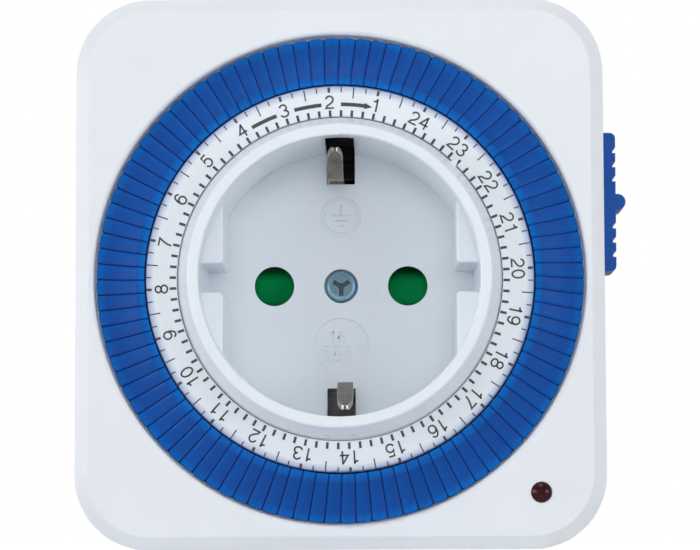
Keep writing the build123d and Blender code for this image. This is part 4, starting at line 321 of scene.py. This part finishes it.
class Finish:
    """A node material: a shader whose colour, roughness and bump come from object-space noise."""

    def __init__(self, name):
        self.material = bpy.data.materials.new(name)
        self.material.use_nodes = True
        self.tree = self.material.node_tree
        self.shader = self.tree.nodes["Principled BSDF"]
        self.where = self.tree.nodes.new("ShaderNodeTexCoord").outputs["Object"]
        self.normal = None

    def node(self, kind, **inputs):
        """A new node; a space in an input's name is written as an underscore."""
        made = self.tree.nodes.new(kind)
        for socket, value in inputs.items():
            self.feed(made.inputs[socket.replace("_", " ")], value)
        return made

    def feed(self, socket, value):
        """Links a socket to another one, or sets it to a plain value."""
        if isinstance(value, bpy.types.NodeSocket):
            self.tree.links.new(value, socket)
        else:
            socket.default_value = value

    def noise(self, size, detail=2.0, roughness=0.5, stretch=(1, 1, 1)):
        """Noise between 0 and 1 whose blotches are about size mm across."""
        scaled = self.node("ShaderNodeMapping", Vector=self.where, Scale=stretch)
        made = self.node(
            "ShaderNodeTexNoise",
            Vector=scaled.outputs[0],
            Scale=1 / (size * MM),
            Detail=detail,
            Roughness=roughness,
        )
        return made.outputs["Fac"]

    def spread(self, value, low, high, start=0.3, end=0.7):
        """A value between start and end, spread over low to high."""
        made = self.node("ShaderNodeMapRange", Value=value)
        for socket, number in (("From Min", start), ("From Max", end), ("To Min", low), ("To Max", high)):
            made.inputs[socket].default_value = number
        return made.outputs["Result"]

    def mix(self, share, first, second):
        """Two colours mixed by a share."""
        made = self.tree.nodes.new("ShaderNodeMix")
        made.data_type = "RGBA"
        self.feed(made.inputs["Factor"], share)
        self.feed(made.inputs[6], first)
        self.feed(made.inputs[7], second)
        return made.outputs[2]

    def edges(self, width):
        """1 along the edges, falling to 0 at about width mm from them."""
        rounded = self.tree.nodes.new("ShaderNodeBevel")
        rounded.samples = BEVEL_SAMPLES
        rounded.inputs["Radius"].default_value = width * MM
        flat = self.tree.nodes.new("ShaderNodeNewGeometry")
        dot = self.tree.nodes.new("ShaderNodeVectorMath")
        dot.operation = "DOT_PRODUCT"
        self.feed(dot.inputs[0], rounded.outputs["Normal"])
        self.feed(dot.inputs[1], flat.outputs["Normal"])
        return self.spread(dot.outputs["Value"], 1.0, 0.0, 0.72, 0.99)

    def soften(self, width):
        """Shades sharp edges as if they were rounded by width mm."""
        rounded = self.tree.nodes.new("ShaderNodeBevel")
        rounded.samples = BEVEL_SAMPLES
        rounded.inputs["Radius"].default_value = width * MM
        self.normal = rounded.outputs["Normal"]

    def combine(self, operation, first, second=0.0):
        """Two values joined by a Math node's operation."""
        made = self.tree.nodes.new("ShaderNodeMath")
        made.operation = operation
        self.feed(made.inputs[0], first)
        self.feed(made.inputs[1], second)
        return made.outputs[0]

    def round_dial(self):
        """Distance from the dial's axis in mm, and the angle clockwise from the top in degrees."""
        parts = self.node("ShaderNodeSeparateXYZ", Vector=self.where).outputs
        squares = [self.combine("POWER", self.combine("ABSOLUTE", parts[axis]), 2.0) for axis in ("X", "Z")]
        radius = self.combine("SQRT", self.combine("ADD", *squares))
        angle = self.combine("DEGREES", self.combine("ARCTAN2", parts["X"], parts["Z"]))
        return self.combine("DIVIDE", radius, MM), angle

    def place(self, axis):
        """The coordinate along an axis, in mm."""
        parts = self.node("ShaderNodeSeparateXYZ", Vector=self.where).outputs
        return self.combine("DIVIDE", parts[axis], MM)

    def within(self, value, low, high, edge=0.05):
        """1 where a value lies between two limits, with soft edges outside them."""
        rise = self.spread(value, 0.0, 1.0, low - edge, low)
        return self.combine("MULTIPLY", rise, self.spread(value, 1.0, 0.0, high, high + edge))

    def bump(self, height, depth):
        """Relief of the given depth in mm where height runs from 0 to 1."""
        made = self.node("ShaderNodeBump", Height=height, Distance=depth * MM, Strength=1.0)
        if self.normal is not None:
            self.feed(made.inputs["Normal"], self.normal)
        self.normal = made.outputs["Normal"]

    def done(self, colour, roughness, **settings):
        """Closes the material: its colour, roughness, bump and the shader's own values."""
        self.feed(self.shader.inputs["Base Color"], colour)
        self.feed(self.shader.inputs["Roughness"], roughness)
        for socket, value in settings.items():
            self.shader.inputs[socket.replace("_", " ")].default_value = value
        if self.normal is not None:
            self.feed(self.shader.inputs["Normal"], self.normal)
        return self.material


def shade(colour, factor):
    """A colour made lighter or darker, with full alpha."""
    return tuple(min(1.0, channel * factor) for channel in colour) + (1.0,)


def earth_slots(finish):
    """1 in the depths of the cup's earth slots and on the walls of its pin holes, where shade is painted.
    """
    across = finish.combine("ABSOLUTE", finish.place("X"))
    height = finish.combine("ABSOLUTE", finish.place("Z"))
    depth = finish.place("Y")
    behind_floor = finish.within(depth, HOLE_SHADE_Y, FAR)
    wall = finish.within(height, CUP_RADIUS, SLOT_OUTER)
    wall = finish.combine("MULTIPLY", wall, finish.within(depth, SLOT_SHADE_Y, FAR))
    floor = finish.combine("MULTIPLY", finish.within(height, SLOT_INNER, SLOT_OUTER), behind_floor)
    slot = finish.within(across, -1.0, SLOT_HALF_WIDTH)
    slot = finish.combine("MULTIPLY", slot, finish.combine("MAXIMUM", wall, floor))
    aside = finish.combine("ABSOLUTE", finish.combine("SUBTRACT", across, PIN_X))
    squares = [finish.combine("POWER", side, 2.0) for side in (aside, height)]
    distance = finish.combine("SQRT", finish.combine("ADD", *squares))
    hole = finish.combine("MULTIPLY", finish.within(distance, 0.0, PIN_HOLE_RADIUS), behind_floor)
    return finish.combine("MAXIMUM", slot, hole)


def nose_hollow(finish):
    """1 inside the plug's hollow nose, where shade is painted."""
    radius, _ = finish.round_dial()
    across = finish.combine("ABSOLUTE", finish.place("X"))
    inside = finish.within(radius, 0.0, NOSE_HOLLOW_RADIUS)
    inside = finish.combine("MULTIPLY", inside, finish.within(across, -1.0, NOSE_HOLLOW_HALF_WIDTH))
    return finish.combine("MULTIPLY", inside, finish.within(finish.place("Y"), -FAR, NOSE_HOLLOW_Y))


def plastic(name, colour, roughness=0.4, variation=0.03, grain=0.25, grain_depth=0.0012, wear_and_glint=1.12,
            soft=0.12, coat=0.0, specular=0.5, inside=None):
    """Moulded plastic: faint flow clouds, a fine eroded grain, edges polished by handling and brightened
    further by a painted highlight, and painted shade where inside marks a depth.
    """
    finish = Finish(name)
    clouds = finish.noise(9.0, 3.0)
    specks = finish.noise(0.35, 2.0)
    base = finish.mix(clouds, shade(colour, 1 - variation), shade(colour, 1 + variation))
    rim = finish.edges(2 * soft)
    # edges lighter from wear, and at the larger values a painted highlight
    wear_glint_shade = finish.mix(finish.spread(rim, 0.0, 0.6, 0.0, 1.0), base, shade(colour, wear_and_glint))
    # painted shade where inside marks a depth or hollow
    if inside:
        wear_glint_shade = finish.mix(inside(finish), wear_glint_shade, PAINTED_SHADE)
    finish.soften(soft)
    finish.bump(finish.noise(grain, 2.0), grain_depth)
    rough = finish.spread(specks, roughness - 0.03, roughness + 0.04)
    settings = {"Coat_Weight": coat, "Coat_Roughness": 0.12, "Specular_IOR_Level": specular}
    return finish.done(wear_glint_shade, rough, **settings)


def shutter_plastic(name):
    """Deep green, shaded where the pin holes' upper edges lie over it."""
    finish = Finish(name)
    clouds = finish.noise(3.0, 3.0)
    base = finish.mix(clouds, SHUTTER_GREEN, SHUTTER_DEEP)
    height = finish.place("Z")
    tone = finish.mix(finish.spread(height, 0.0, 0.85, *SHUTTER_SHADE), base, SHUTTER_DARK)
    tone = finish.mix(finish.spread(height, 0.35, 0.0, *SHUTTER_LOW_SHADE), tone, SHUTTER_DARK)
    finish.soften(0.12)
    finish.bump(finish.noise(0.3, 2.0), 0.001)
    return finish.done(tone, finish.spread(finish.noise(0.6, 2.0), 0.26, 0.36), Specular_IOR_Level=0.02)


def screw_steel(name, colour):
    """Zinc-plated steel, with painted glints on its edges and a painted shade in the centre screw's recess.
    """
    finish = Finish(name)
    clouds = finish.noise(1.2, 4.0, 0.6)
    base = finish.mix(clouds, shade(colour, 0.75), shade(colour, 1.1))
    # painted glints along the edges
    bright = finish.mix(finish.spread(finish.edges(0.25), 0.0, 0.8, 0.0, 1.0), base, shade(colour, 1.9))
    # painted shade in the centre screw's recess
    radius, _ = finish.round_dial()
    recess = finish.within(radius, 0.0, RECESS_REACH)
    recess = finish.combine("MULTIPLY", recess, finish.within(finish.place("Y"), *RECESS_DEPTHS))
    tone = finish.mix(recess, bright, shade(colour, 0.4))
    finish.soften(0.12)
    finish.bump(finish.noise(0.15, 3.0, 0.6), 0.003)
    return finish.done(tone, finish.spread(clouds, 0.4, 0.26), Metallic=1.0)


def tappet_plastic(name):
    """The tappets' blue: brighter at both ends by a painted highlight, deeper and more violet between by
    painted shade and reflection, a fine line down the middle of each, painted shade in the seams, painted
    highlights along the edges, and no two tappets quite the same."""
    finish = Finish(name)
    radius, angle = finish.round_dial()
    share = finish.spread(radius, 0.0, 1.0, *TAPPET_SPAN)
    lean = finish.spread(share, -TAPPET_LEAN, TAPPET_LEAN, 0.0, 1.0)
    count = finish.combine("DIVIDE", finish.combine("SUBTRACT", angle, lean), QUARTER_ANGLE)
    count = finish.combine("ADD", count, TAPPET_START)
    across = finish.combine("FRACT", count)
    each = finish.node("ShaderNodeTexWhiteNoise")
    each.noise_dimensions = "1D"
    finish.feed(each.inputs["W"], finish.combine("FLOOR", count))
    from_middle = finish.combine("ABSOLUTE", finish.combine("SUBTRACT", share, 0.5))
    # Painted reflection and shade: more violet towards each tappet's counter-clockwise side. Painted
    # highlight: brighter towards both ends.
    flank = finish.spread(across, 0.0, 0.6, 0.1, 1.0)
    ends = finish.spread(from_middle, 0.0, 1.0, 0.3, 0.46)
    tone = finish.mix(flank, TAPPET_VIOLET, TAPPET_BLUE)
    tone = finish.mix(ends, tone, TAPPET_BRIGHT)
    dimmer = finish.spread(each.outputs["Value"], 0.0, 0.3, 0.0, 1.0)
    tone = finish.mix(dimmer, tone, TAPPET_DEEP)
    from_line = finish.combine("ABSOLUTE", finish.combine("SUBTRACT", across, 0.5))
    line = finish.spread(from_line, 0.35, 0.0, *TAPPET_MIDDLE_WIDTH)
    tone = finish.mix(line, tone, TAPPET_DEEP)
    # Painted shade in the seams between the tappets.
    seam = finish.spread(across, 1.0, 0.0, *TAPPET_SEAM_WIDTH)
    tone = finish.mix(finish.combine("MULTIPLY", seam, 0.85), tone, TAPPET_SEAM)
    # Painted highlights along the tappets' edges.
    rim = finish.edges(0.12)
    tone = finish.mix(finish.combine("MULTIPLY", rim, 0.25), tone, TAPPET_EDGE_GLINT)
    finish.soften(0.07)
    finish.bump(finish.noise(0.25, 2.0), 0.002)
    rough = finish.spread(finish.noise(0.35, 2.0), 0.4, 0.52)
    return finish.done(tone, rough, Specular_IOR_Level=0.12)


def dial_plastic(name, colour):
    """The dial's white, with the tappets' blue as a painted reflection and a painted shade round its outer
    edge.
    """
    finish = Finish(name)
    radius, _ = finish.round_dial()
    base = finish.mix(finish.noise(9.0, 3.0), shade(colour, 0.98), shade(colour, 1.02))
    tone = finish.mix(finish.spread(radius, 0.0, 1.0, *DIAL_TINT), base, DIAL_TINT_COLOUR)
    tone = finish.mix(finish.spread(radius, 0.0, 1.0, *DIAL_DARK), tone, DIAL_DARK_COLOUR)
    tone = finish.mix(finish.spread(radius, 0.0, 1.0, *DIAL_FACE_END), tone, CARRIER_COLOUR)
    finish.soften(0.3)
    finish.bump(finish.noise(0.25, 2.0), 0.002)
    return finish.done(tone, finish.spread(finish.noise(0.35, 2.0), 0.28, 0.38))


def behind_back(finish):
    """1 on what lies in the dark between the housing's back wall and the contacts."""
    return finish.within(finish.place("Y"), *BACK_SHADE)


def metal(name, colour, roughness=0.3, stretch=(1, 1, 6), scratch=0.08, wear_and_glint=1.25, soft=0.08,
          inside=None):
    """Plated or rolled metal: a drawn grain one way, dull clouds, edges bright from wear and from a painted
    highlight, and painted shade where inside marks a depth.
    """
    finish = Finish(name)
    grain = finish.noise(scratch, 3.0, 0.6, stretch)
    clouds = finish.noise(2.5, 4.0, 0.6)
    base = finish.mix(clouds, shade(colour, 0.82), shade(colour, 1.08))
    rim = finish.edges(2 * soft)
    # edges brighter from wear, and at the larger values a painted highlight
    bright = finish.mix(finish.spread(rim, 0.0, 0.7, 0.0, 1.0), base, shade(colour, wear_and_glint))
    # painted shade where inside marks a depth or hollow
    if inside:
        bright = finish.mix(inside(finish), bright, PAINTED_SHADE)
    finish.soften(soft)
    finish.bump(grain, 0.003)
    rough = finish.spread(clouds, roughness + 0.1, roughness - 0.06)
    return finish.done(bright, rough, Metallic=1.0)


def ink(name, colour):
    """Pad-printed ink: thin and even, a little lighter where it is starved."""
    finish = Finish(name)
    starved = finish.noise(0.12, 2.0)
    tone = finish.mix(starved, shade(colour, 0.9), shade(colour, 1.35))
    finish.bump(finish.noise(0.08), 0.001)
    return finish.done(tone, finish.spread(starved, 0.42, 0.55))


def clear(name, colour, roughness, weight, specular=0.5):
    """Clear tinted plastic or glass with faint ripples inside."""
    finish = Finish(name)
    ripples = finish.noise(1.5, 2.0)
    tint = finish.mix(ripples, shade(colour, 0.8), shade(colour, 1.15))
    finish.bump(finish.noise(0.2, 1.0), 0.0008)
    smooth = finish.spread(ripples, roughness, roughness + 0.05)
    return finish.done(tint, smooth, Transmission_Weight=weight, IOR=1.49, Specular_IOR_Level=specular)


def winding(name, colour):
    """Enamelled copper wire wound in fine turns around the motor's axis."""
    finish = Finish(name)
    turns = finish.node("ShaderNodeTexWave", Vector=finish.where, Scale=900.0, Distortion=0.4)
    turns.bands_direction = "Y"
    tone = finish.mix(turns.outputs["Fac"], shade(colour, 0.45), shade(colour, 1.1))
    finish.bump(turns.outputs["Fac"], 0.03)
    return finish.done(tone, finish.spread(finish.noise(0.6), 0.25, 0.4), Metallic=0.8)


def build_materials():
    """One finished material for each of the record's slots, and the dial's ink."""
    return {
        "housing_white": plastic("housing_white", (0.8, 0.835, 0.885), 0.38, inside=nose_hollow),
        "collar_white": plastic("collar_white", (0.8, 0.86, 0.92), 0.3, coat=0.25, inside=earth_slots),
        "dial_white": dial_plastic("dial_white", (0.79, 0.845, 0.905)),
        "tappet_blue": tappet_plastic("tappet_blue"),
        "slider_blue": plastic(
            "slider_blue", (0.004, 0.075, 0.36), 0.36, variation=0.08, wear_and_glint=2.4, soft=0.16, specular=0.3
        ),
        "shutter_green": shutter_plastic("shutter_green"),
        "lever_plastic": plastic("lever_plastic", (0.7, 0.7, 0.66), 0.45),
        "block_plastic": plastic(
            "block_plastic", (0.016, 0.016, 0.017), 0.55, variation=0.1, specular=0.12
        ),
        "chassis_plastic": plastic(
            "chassis_plastic", (0.015, 0.0155, 0.017), 0.55, variation=0.1, specular=0.12
        ),
        "switch_plastic": plastic("switch_plastic", (0.04, 0.04, 0.045), 0.45, variation=0.15, wear_and_glint=1.6),
        "gear_plastic": plastic("gear_plastic", (0.8, 0.77, 0.68), 0.4, soft=0.05),
        "spring_steel": metal("spring_steel", (0.6, 0.6, 0.62), 0.22, soft=0.03),
        "zinc_steel": screw_steel("zinc_steel", (0.44, 0.7, 0.86)),
        "plate_steel": metal("plate_steel", (0.6, 0.61, 0.62), 0.35, (1, 1, 8)),
        "earth_nickel": metal(
            "earth_nickel", (0.43, 0.39, 0.33), 0.24, (6, 1, 1), wear_and_glint=2.4, soft=0.12, inside=behind_back
        ),
        "pin_nickel": metal("pin_nickel", (0.72, 0.7, 0.67), 0.16, (4, 1, 4)),
        "contact_brass": metal("contact_brass", (0.78, 0.58, 0.26), 0.28, (1, 1, 6)),
        "coil_copper": winding("coil_copper", (0.6, 0.26, 0.1)),
        "rotor_ferrite": plastic(
            "rotor_ferrite", (0.06, 0.06, 0.065), 0.6,
            variation=0.25, grain=0.12, grain_depth=0.006, wear_and_glint=1.5,
        ),
        "lens_red": clear("lens_red", (0.04, 0.003, 0.005), 0.22, 0.1, specular=0.25),
        "lamp_glass": clear("lamp_glass", (0.9, 0.75, 0.65), 0.02, 0.95),
        "resistor_body": plastic("resistor_body", (0.6, 0.45, 0.27), 0.3, variation=0.08),
        "wire_sleeve": plastic("wire_sleeve", (0.05, 0.14, 0.45), 0.42, variation=0.08, soft=0.05),
        "ink": ink("ink", (0.055, 0.055, 0.065)),
    }


def paint_nodes(materials):
    """Gives every CAD node its slot's finish."""
    for entry in frame["record"]["subparts"]:
        data = frame["nodes"][entry["node"]].data
        data.materials.clear()
        data.materials.append(materials[entry["material_slot"]])


# ---- Pieces ------------------------------------------------------------------------------------


def dial_ticks(materials):
    """Each quarter's ticks: a thick one inside, and outside thick on the hour and longer halfway."""
    relief = Relief(PANEL_Y, PRINT_THICKNESS)
    for step in range(HOURS * QUARTERS):
        place = around_dial(FIRST_HOUR_ANGLE + step * QUARTER_ANGLE)
        relief.line([(0, INNER_TICK[0]), (0, INNER_TICK[1])], THICK_LINE, place)
        quarter = step % QUARTERS
        span = HALF_HOUR_TICK if quarter == QUARTERS // 2 else QUARTER_TICK
        width = THIN_LINE if quarter else THICK_LINE
        relief.line([(0, span[0]), (0, span[1])], width, place)
    relief.piece("dial_ticks", "dial", materials["ink"], "dial_white")


def dial_figures(materials):
    """The hours, which run counter-clockwise so that the dial can turn clockwise."""
    relief = Relief(PANEL_Y, PRINT_THICKNESS)
    for hour in range(1, HOURS + 1):
        turn = around_dial(FIRST_HOUR_ANGLE - (hour - 1) * QUARTERS * QUARTER_ANGLE)

        def place(x, y, turn=turn):
            return turn(x, y + FIGURE_RADIUS)

        relief.words(str(hour), FIGURE_HEIGHT, FIGURE_LINE, FIGURE_ADVANCE, place)
    relief.piece("dial_figures", "dial", materials["ink"], "dial_white")


def dial_arrow(materials):
    """The bars between the first hours, and the arrow head that shows which way the dial turns."""
    relief = Relief(PANEL_Y, PRINT_THICKNESS)
    place = around_dial(0)

    def spot(radius, angle):
        return radius * sin(radians(angle)), radius * cos(radians(angle))

    for start, end in ARROW_BARS:
        step_angle = (end - start) / ARROW_BAR_STEPS
        angles = [start + step_angle * step for step in range(ARROW_BAR_STEPS + 1)]
        outer = [spot(ARROW_RADIUS + ARROW_HALF_WIDTH, angle) for angle in angles]
        inner = [spot(ARROW_RADIUS - ARROW_HALF_WIDTH, angle) for angle in angles]
        relief.add(outer, inner, False, place)
    neck = ARROW_BARS[-1][1]
    tip = spot(ARROW_RADIUS, ARROW_TIP_ANGLE)
    outer = [spot(ARROW_RADIUS + ARROW_HEAD_HALF_WIDTH, neck), tip]
    tip_end = spot(ARROW_RADIUS - ARROW_TIP_WIDTH, ARROW_TIP_ANGLE)
    inner = [spot(ARROW_RADIUS - ARROW_HEAD_HALF_WIDTH, neck), tip_end]
    relief.add(outer, inner, False, place)
    relief.piece("dial_arrow", "dial", materials["ink"], "dial_white")


def tappet_stations():
    """Places along a tappet from the inner end out: radius, inset of its sides, extra depth."""
    inner, outer = TAPPET_SPAN
    stations = [(inner, 0.0, TAPPET_CHAMFER), (inner + TAPPET_CHAMFER, 0.0, 0.0)]
    dish_start = inner + TAPPET_LAND
    dish_step = (outer - inner - 2 * TAPPET_LAND) / TAPPET_DISH_STEPS
    stations += [(dish_start + dish_step * step, 0.0, 0.0) for step in range(TAPPET_DISH_STEPS + 1)]
    for degrees in TAPPET_CORNER_STEPS:
        radius = outer - TAPPET_CORNER * (1 - sin(radians(degrees)))
        extra = max(0.0, radius - outer + TAPPET_CHAMFER)
        stations.append((radius, TAPPET_CORNER * (1 - cos(radians(degrees))), extra))
    return stations


def tappet_section(radius, inset, extra):
    """A tappet's cross section, from its left foot over the top and back: (across, depth)."""
    inner, outer = TAPPET_SPAN
    share = (radius - inner) / (outer - inner)
    half = radius * tan(radians(QUARTER_ANGLE / 2)) - TAPPET_SEAM_GAP / 2 - inset
    middle = (2 * share - 1) * inner * radians(TAPPET_SKEW) / 2
    along = (radius - inner - TAPPET_LAND) / (outer - inner - 2 * TAPPET_LAND)
    along = min(1.0, max(0.0, along))
    top = PANEL_Y + TAPPET_DROP * along + 4 * TAPPET_DISH * along * (1 - along) + extra
    foot = PANEL_Y + TAPPET_HEAD_DEPTH
    return [
        (middle - half, foot),
        (middle - half, top + TAPPET_CHAMFER),
        (middle - half + TAPPET_CHAMFER, top),
        (middle + half - TAPPET_FLANK_WIDTH, top),
        (middle + half - TAPPET_CHAMFER / 2, top + TAPPET_FLANK_DROP),
        (middle + half, top + TAPPET_FLANK_DROP + TAPPET_CHAMFER),
        (middle + half, foot),
    ]


def add_loft(points, faces, sections):
    """Joins closed sections of (x, y, z) points, and closes both ends."""
    first = len(points)
    count = len(sections[0])
    for section in sections:
        points += section
    for step in range(len(sections) - 1):
        near = first + step * count
        far = near + count
        for index in range(count):
            after = (index + 1) % count
            faces.append((near + index, far + index, far + after, near + after))
    faces.append(tuple(range(first, first + count)))
    last = first + (len(sections) - 1) * count
    faces.append(tuple(reversed(range(last, last + count))))


def tappet_heads(materials, hour):
    """The four tappets of one hour, each with its stem."""
    half = TAPPET_STEM_HALF_WIDTH
    foot = PANEL_Y + TAPPET_HEAD_DEPTH
    end = PANEL_Y + TAPPET_STEM_END
    points, faces = [], []
    for quarter in range(QUARTERS):
        turn = radians(TAPPET_PHASE + (quarter - (hour - 1) * QUARTERS) * QUARTER_ANGLE)

        def placed(x, y, radius, turn=turn):
            across = x * cos(turn) + radius * sin(turn)
            return across * MM, y * MM, (radius * cos(turn) - x * sin(turn)) * MM

        head = []
        for station in tappet_stations():
            head.append([placed(x, y, station[0]) for x, y in tappet_section(*station)])
        add_loft(points, faces, head)
        square = [(-half, end), (-half, foot), (half, foot), (half, end)]
        add_loft(points, faces, [[placed(x, y, radius) for x, y in square] for radius in TAPPET_STEM])
    piece = new_object(f"tappet_heads_hour_{hour:02d}", points, faces, materials["tappet_blue"])
    piece.data.shade_smooth()
    piece.data.set_sharp_from_angle(angle=radians(TAPPET_SHARP_ANGLE))
    node = f"tappets_hour_{hour:02d}"
    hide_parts(node)
    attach(piece, node)


def rating_figures(materials):
    """Plain raised ratings on the cup's floor: amperes over volts."""
    relief = Relief(RATING_DISC_Y, RATING_RELIEF)

    def row(height):
        def place(x, y):
            return x + RATING_CENTRE[0], y + RATING_CENTRE[1] + height

        return place

    line = RATING_LINE / RATING_HEIGHT
    ampere_advance, volt_advance = RATING_ADVANCES
    relief.words("16", RATING_HEIGHT, line, ampere_advance, row(RATING_ROW))
    relief.words("250", RATING_HEIGHT, line, volt_advance, row(-RATING_ROW))
    relief.line([(-RATING_BAR / 2, 0), (RATING_BAR / 2, 0)], RATING_LINE, row(0))
    start, middle, end = RATING_WAVE
    reach = (middle - start) / 2
    crest = arc(start + reach, 0, reach, reach, 180, 0)
    trough = arc(middle + reach, 0, reach, reach, 180, 360)
    relief.line(crest + trough[1:], RATING_LINE, row(0))
    relief.piece("rating_figures", "root", materials["collar_white"], "collar_white")


# ---- Studio ------------------------------------------------------------------------------------


def add_camera():
    """The camera, turned so that the object's depth and right run as they do in the picture."""
    across = (VANISHING_PIXEL[0] - IMAGE_WIDTH / 2) / FOCAL_PIXELS
    down = (VANISHING_PIXEL[1] - IMAGE_HEIGHT / 2) / FOCAL_PIXELS
    depth = Vector((across, -down, -1)).normalized()
    right = Vector((cos(radians(ROLL)), sin(radians(ROLL)), 0))
    right -= depth * right.dot(depth)
    right.normalize()
    camera_to_world = Matrix((right, depth, right.cross(depth)))
    data = bpy.data.cameras.new("camera")
    data.sensor_width = SENSOR_WIDTH
    data.lens = FOCAL_PIXELS * SENSOR_WIDTH / IMAGE_WIDTH
    data.clip_start, data.clip_end = VIEW_DEPTHS
    camera = bpy.data.objects.new("camera", data)
    bpy.context.scene.collection.objects.link(camera)
    place = Matrix.Translation(Vector(CAMERA_AT) * MM)
    camera.matrix_world = place @ camera_to_world.to_4x4()
    bpy.context.scene.camera = camera


def softbox(name, at, size, power, mirrored):
    """A square lamp turned to the timer."""
    data = bpy.data.lights.new(name, "AREA")
    data.size = size
    data.energy = power
    light = bpy.data.objects.new(name, data)
    light.visible_glossy = mirrored
    bpy.context.scene.collection.objects.link(light)
    aim = (Vector(LIT_POINT) - Vector(at)).to_track_quat("-Z", "Y")
    light.matrix_world = Matrix.Translation(at) @ aim.to_matrix().to_4x4()


def build_world():
    """A dim room with a white wall behind the timer. The camera sees white all round."""
    world = bpy.data.worlds.new("studio")
    bpy.context.scene.world = world
    world.use_nodes = True
    tree = world.node_tree
    tree.nodes.clear()

    def combine(operation, first, second):
        made = tree.nodes.new("ShaderNodeMath")
        made.operation = operation
        tree.links.new(first, made.inputs[0])
        tree.links.new(second, made.inputs[1])
        return made.outputs[0]

    direction = tree.nodes.new("ShaderNodeSeparateXYZ")
    tree.links.new(tree.nodes.new("ShaderNodeTexCoord").outputs["Generated"], direction.inputs[0])
    behind = tree.nodes.new("ShaderNodeMapRange")
    behind.inputs["From Min"].default_value = WALL_FADE[0]
    behind.inputs["From Max"].default_value = WALL_FADE[1]
    tree.links.new(direction.outputs["Y"], behind.inputs["Value"])
    path = tree.nodes.new("ShaderNodeLightPath")
    mirrored = combine("MAXIMUM", path.outputs["Is Glossy Ray"], path.outputs["Is Transmission Ray"])
    mirrored = combine("MULTIPLY", mirrored, behind.outputs["Result"])
    light = tree.nodes.new("ShaderNodeBackground")
    light.inputs["Color"].default_value = WORLD_COLOUR
    light.inputs["Strength"].default_value = WORLD_LIGHT
    white = tree.nodes.new("ShaderNodeBackground")
    white.inputs["Color"].default_value = (1, 1, 1, 1)
    white.inputs["Strength"].default_value = 1.0
    mix = tree.nodes.new("ShaderNodeMixShader")
    output = tree.nodes.new("ShaderNodeOutputWorld")
    tree.links.new(combine("MAXIMUM", mirrored, path.outputs["Is Camera Ray"]), mix.inputs[0])
    tree.links.new(light.outputs[0], mix.inputs[1])
    tree.links.new(white.outputs[0], mix.inputs[2])
    tree.links.new(mix.outputs[0], output.inputs["Surface"])


def build_floor():
    """A white floor under the timer: it glows a little to the eye, so only shadows show on it."""
    finish = Finish("floor")
    tone = finish.mix(finish.noise(300.0), *FLOOR_TONES)
    path = finish.tree.nodes.new("ShaderNodeLightPath")
    glow = finish.spread(path.outputs["Is Camera Ray"], 0.0, FLOOR_GLOW, 0.0, 1.0)
    finish.feed(finish.shader.inputs["Emission Strength"], glow)
    material = finish.done(tone, 0.9, Emission_Color=(1, 1, 1, 1))
    height = STANDING_Z * MM
    sides = ((-1, -1), (1, -1), (1, 1), (-1, 1))
    corners = [(x * FLOOR_REACH, y * FLOOR_REACH, height) for x, y in sides]
    new_object("floor", corners, [(0, 1, 2, 3)], material)


def build_studio():
    """White surroundings, the floor, and soft lamps all round the timer."""
    build_world()
    build_floor()
    for lamp in LAMPS:
        softbox(*lamp)


materials = build_materials()
paint_nodes(materials)
dial_ticks(materials)
dial_figures(materials)
dial_arrow(materials)
rating_figures(materials)
for hour in range(1, HOURS + 1):
    tappet_heads(materials, hour)
add_camera()
build_studio()
bpy.context.scene.view_settings.view_transform = "Standard"
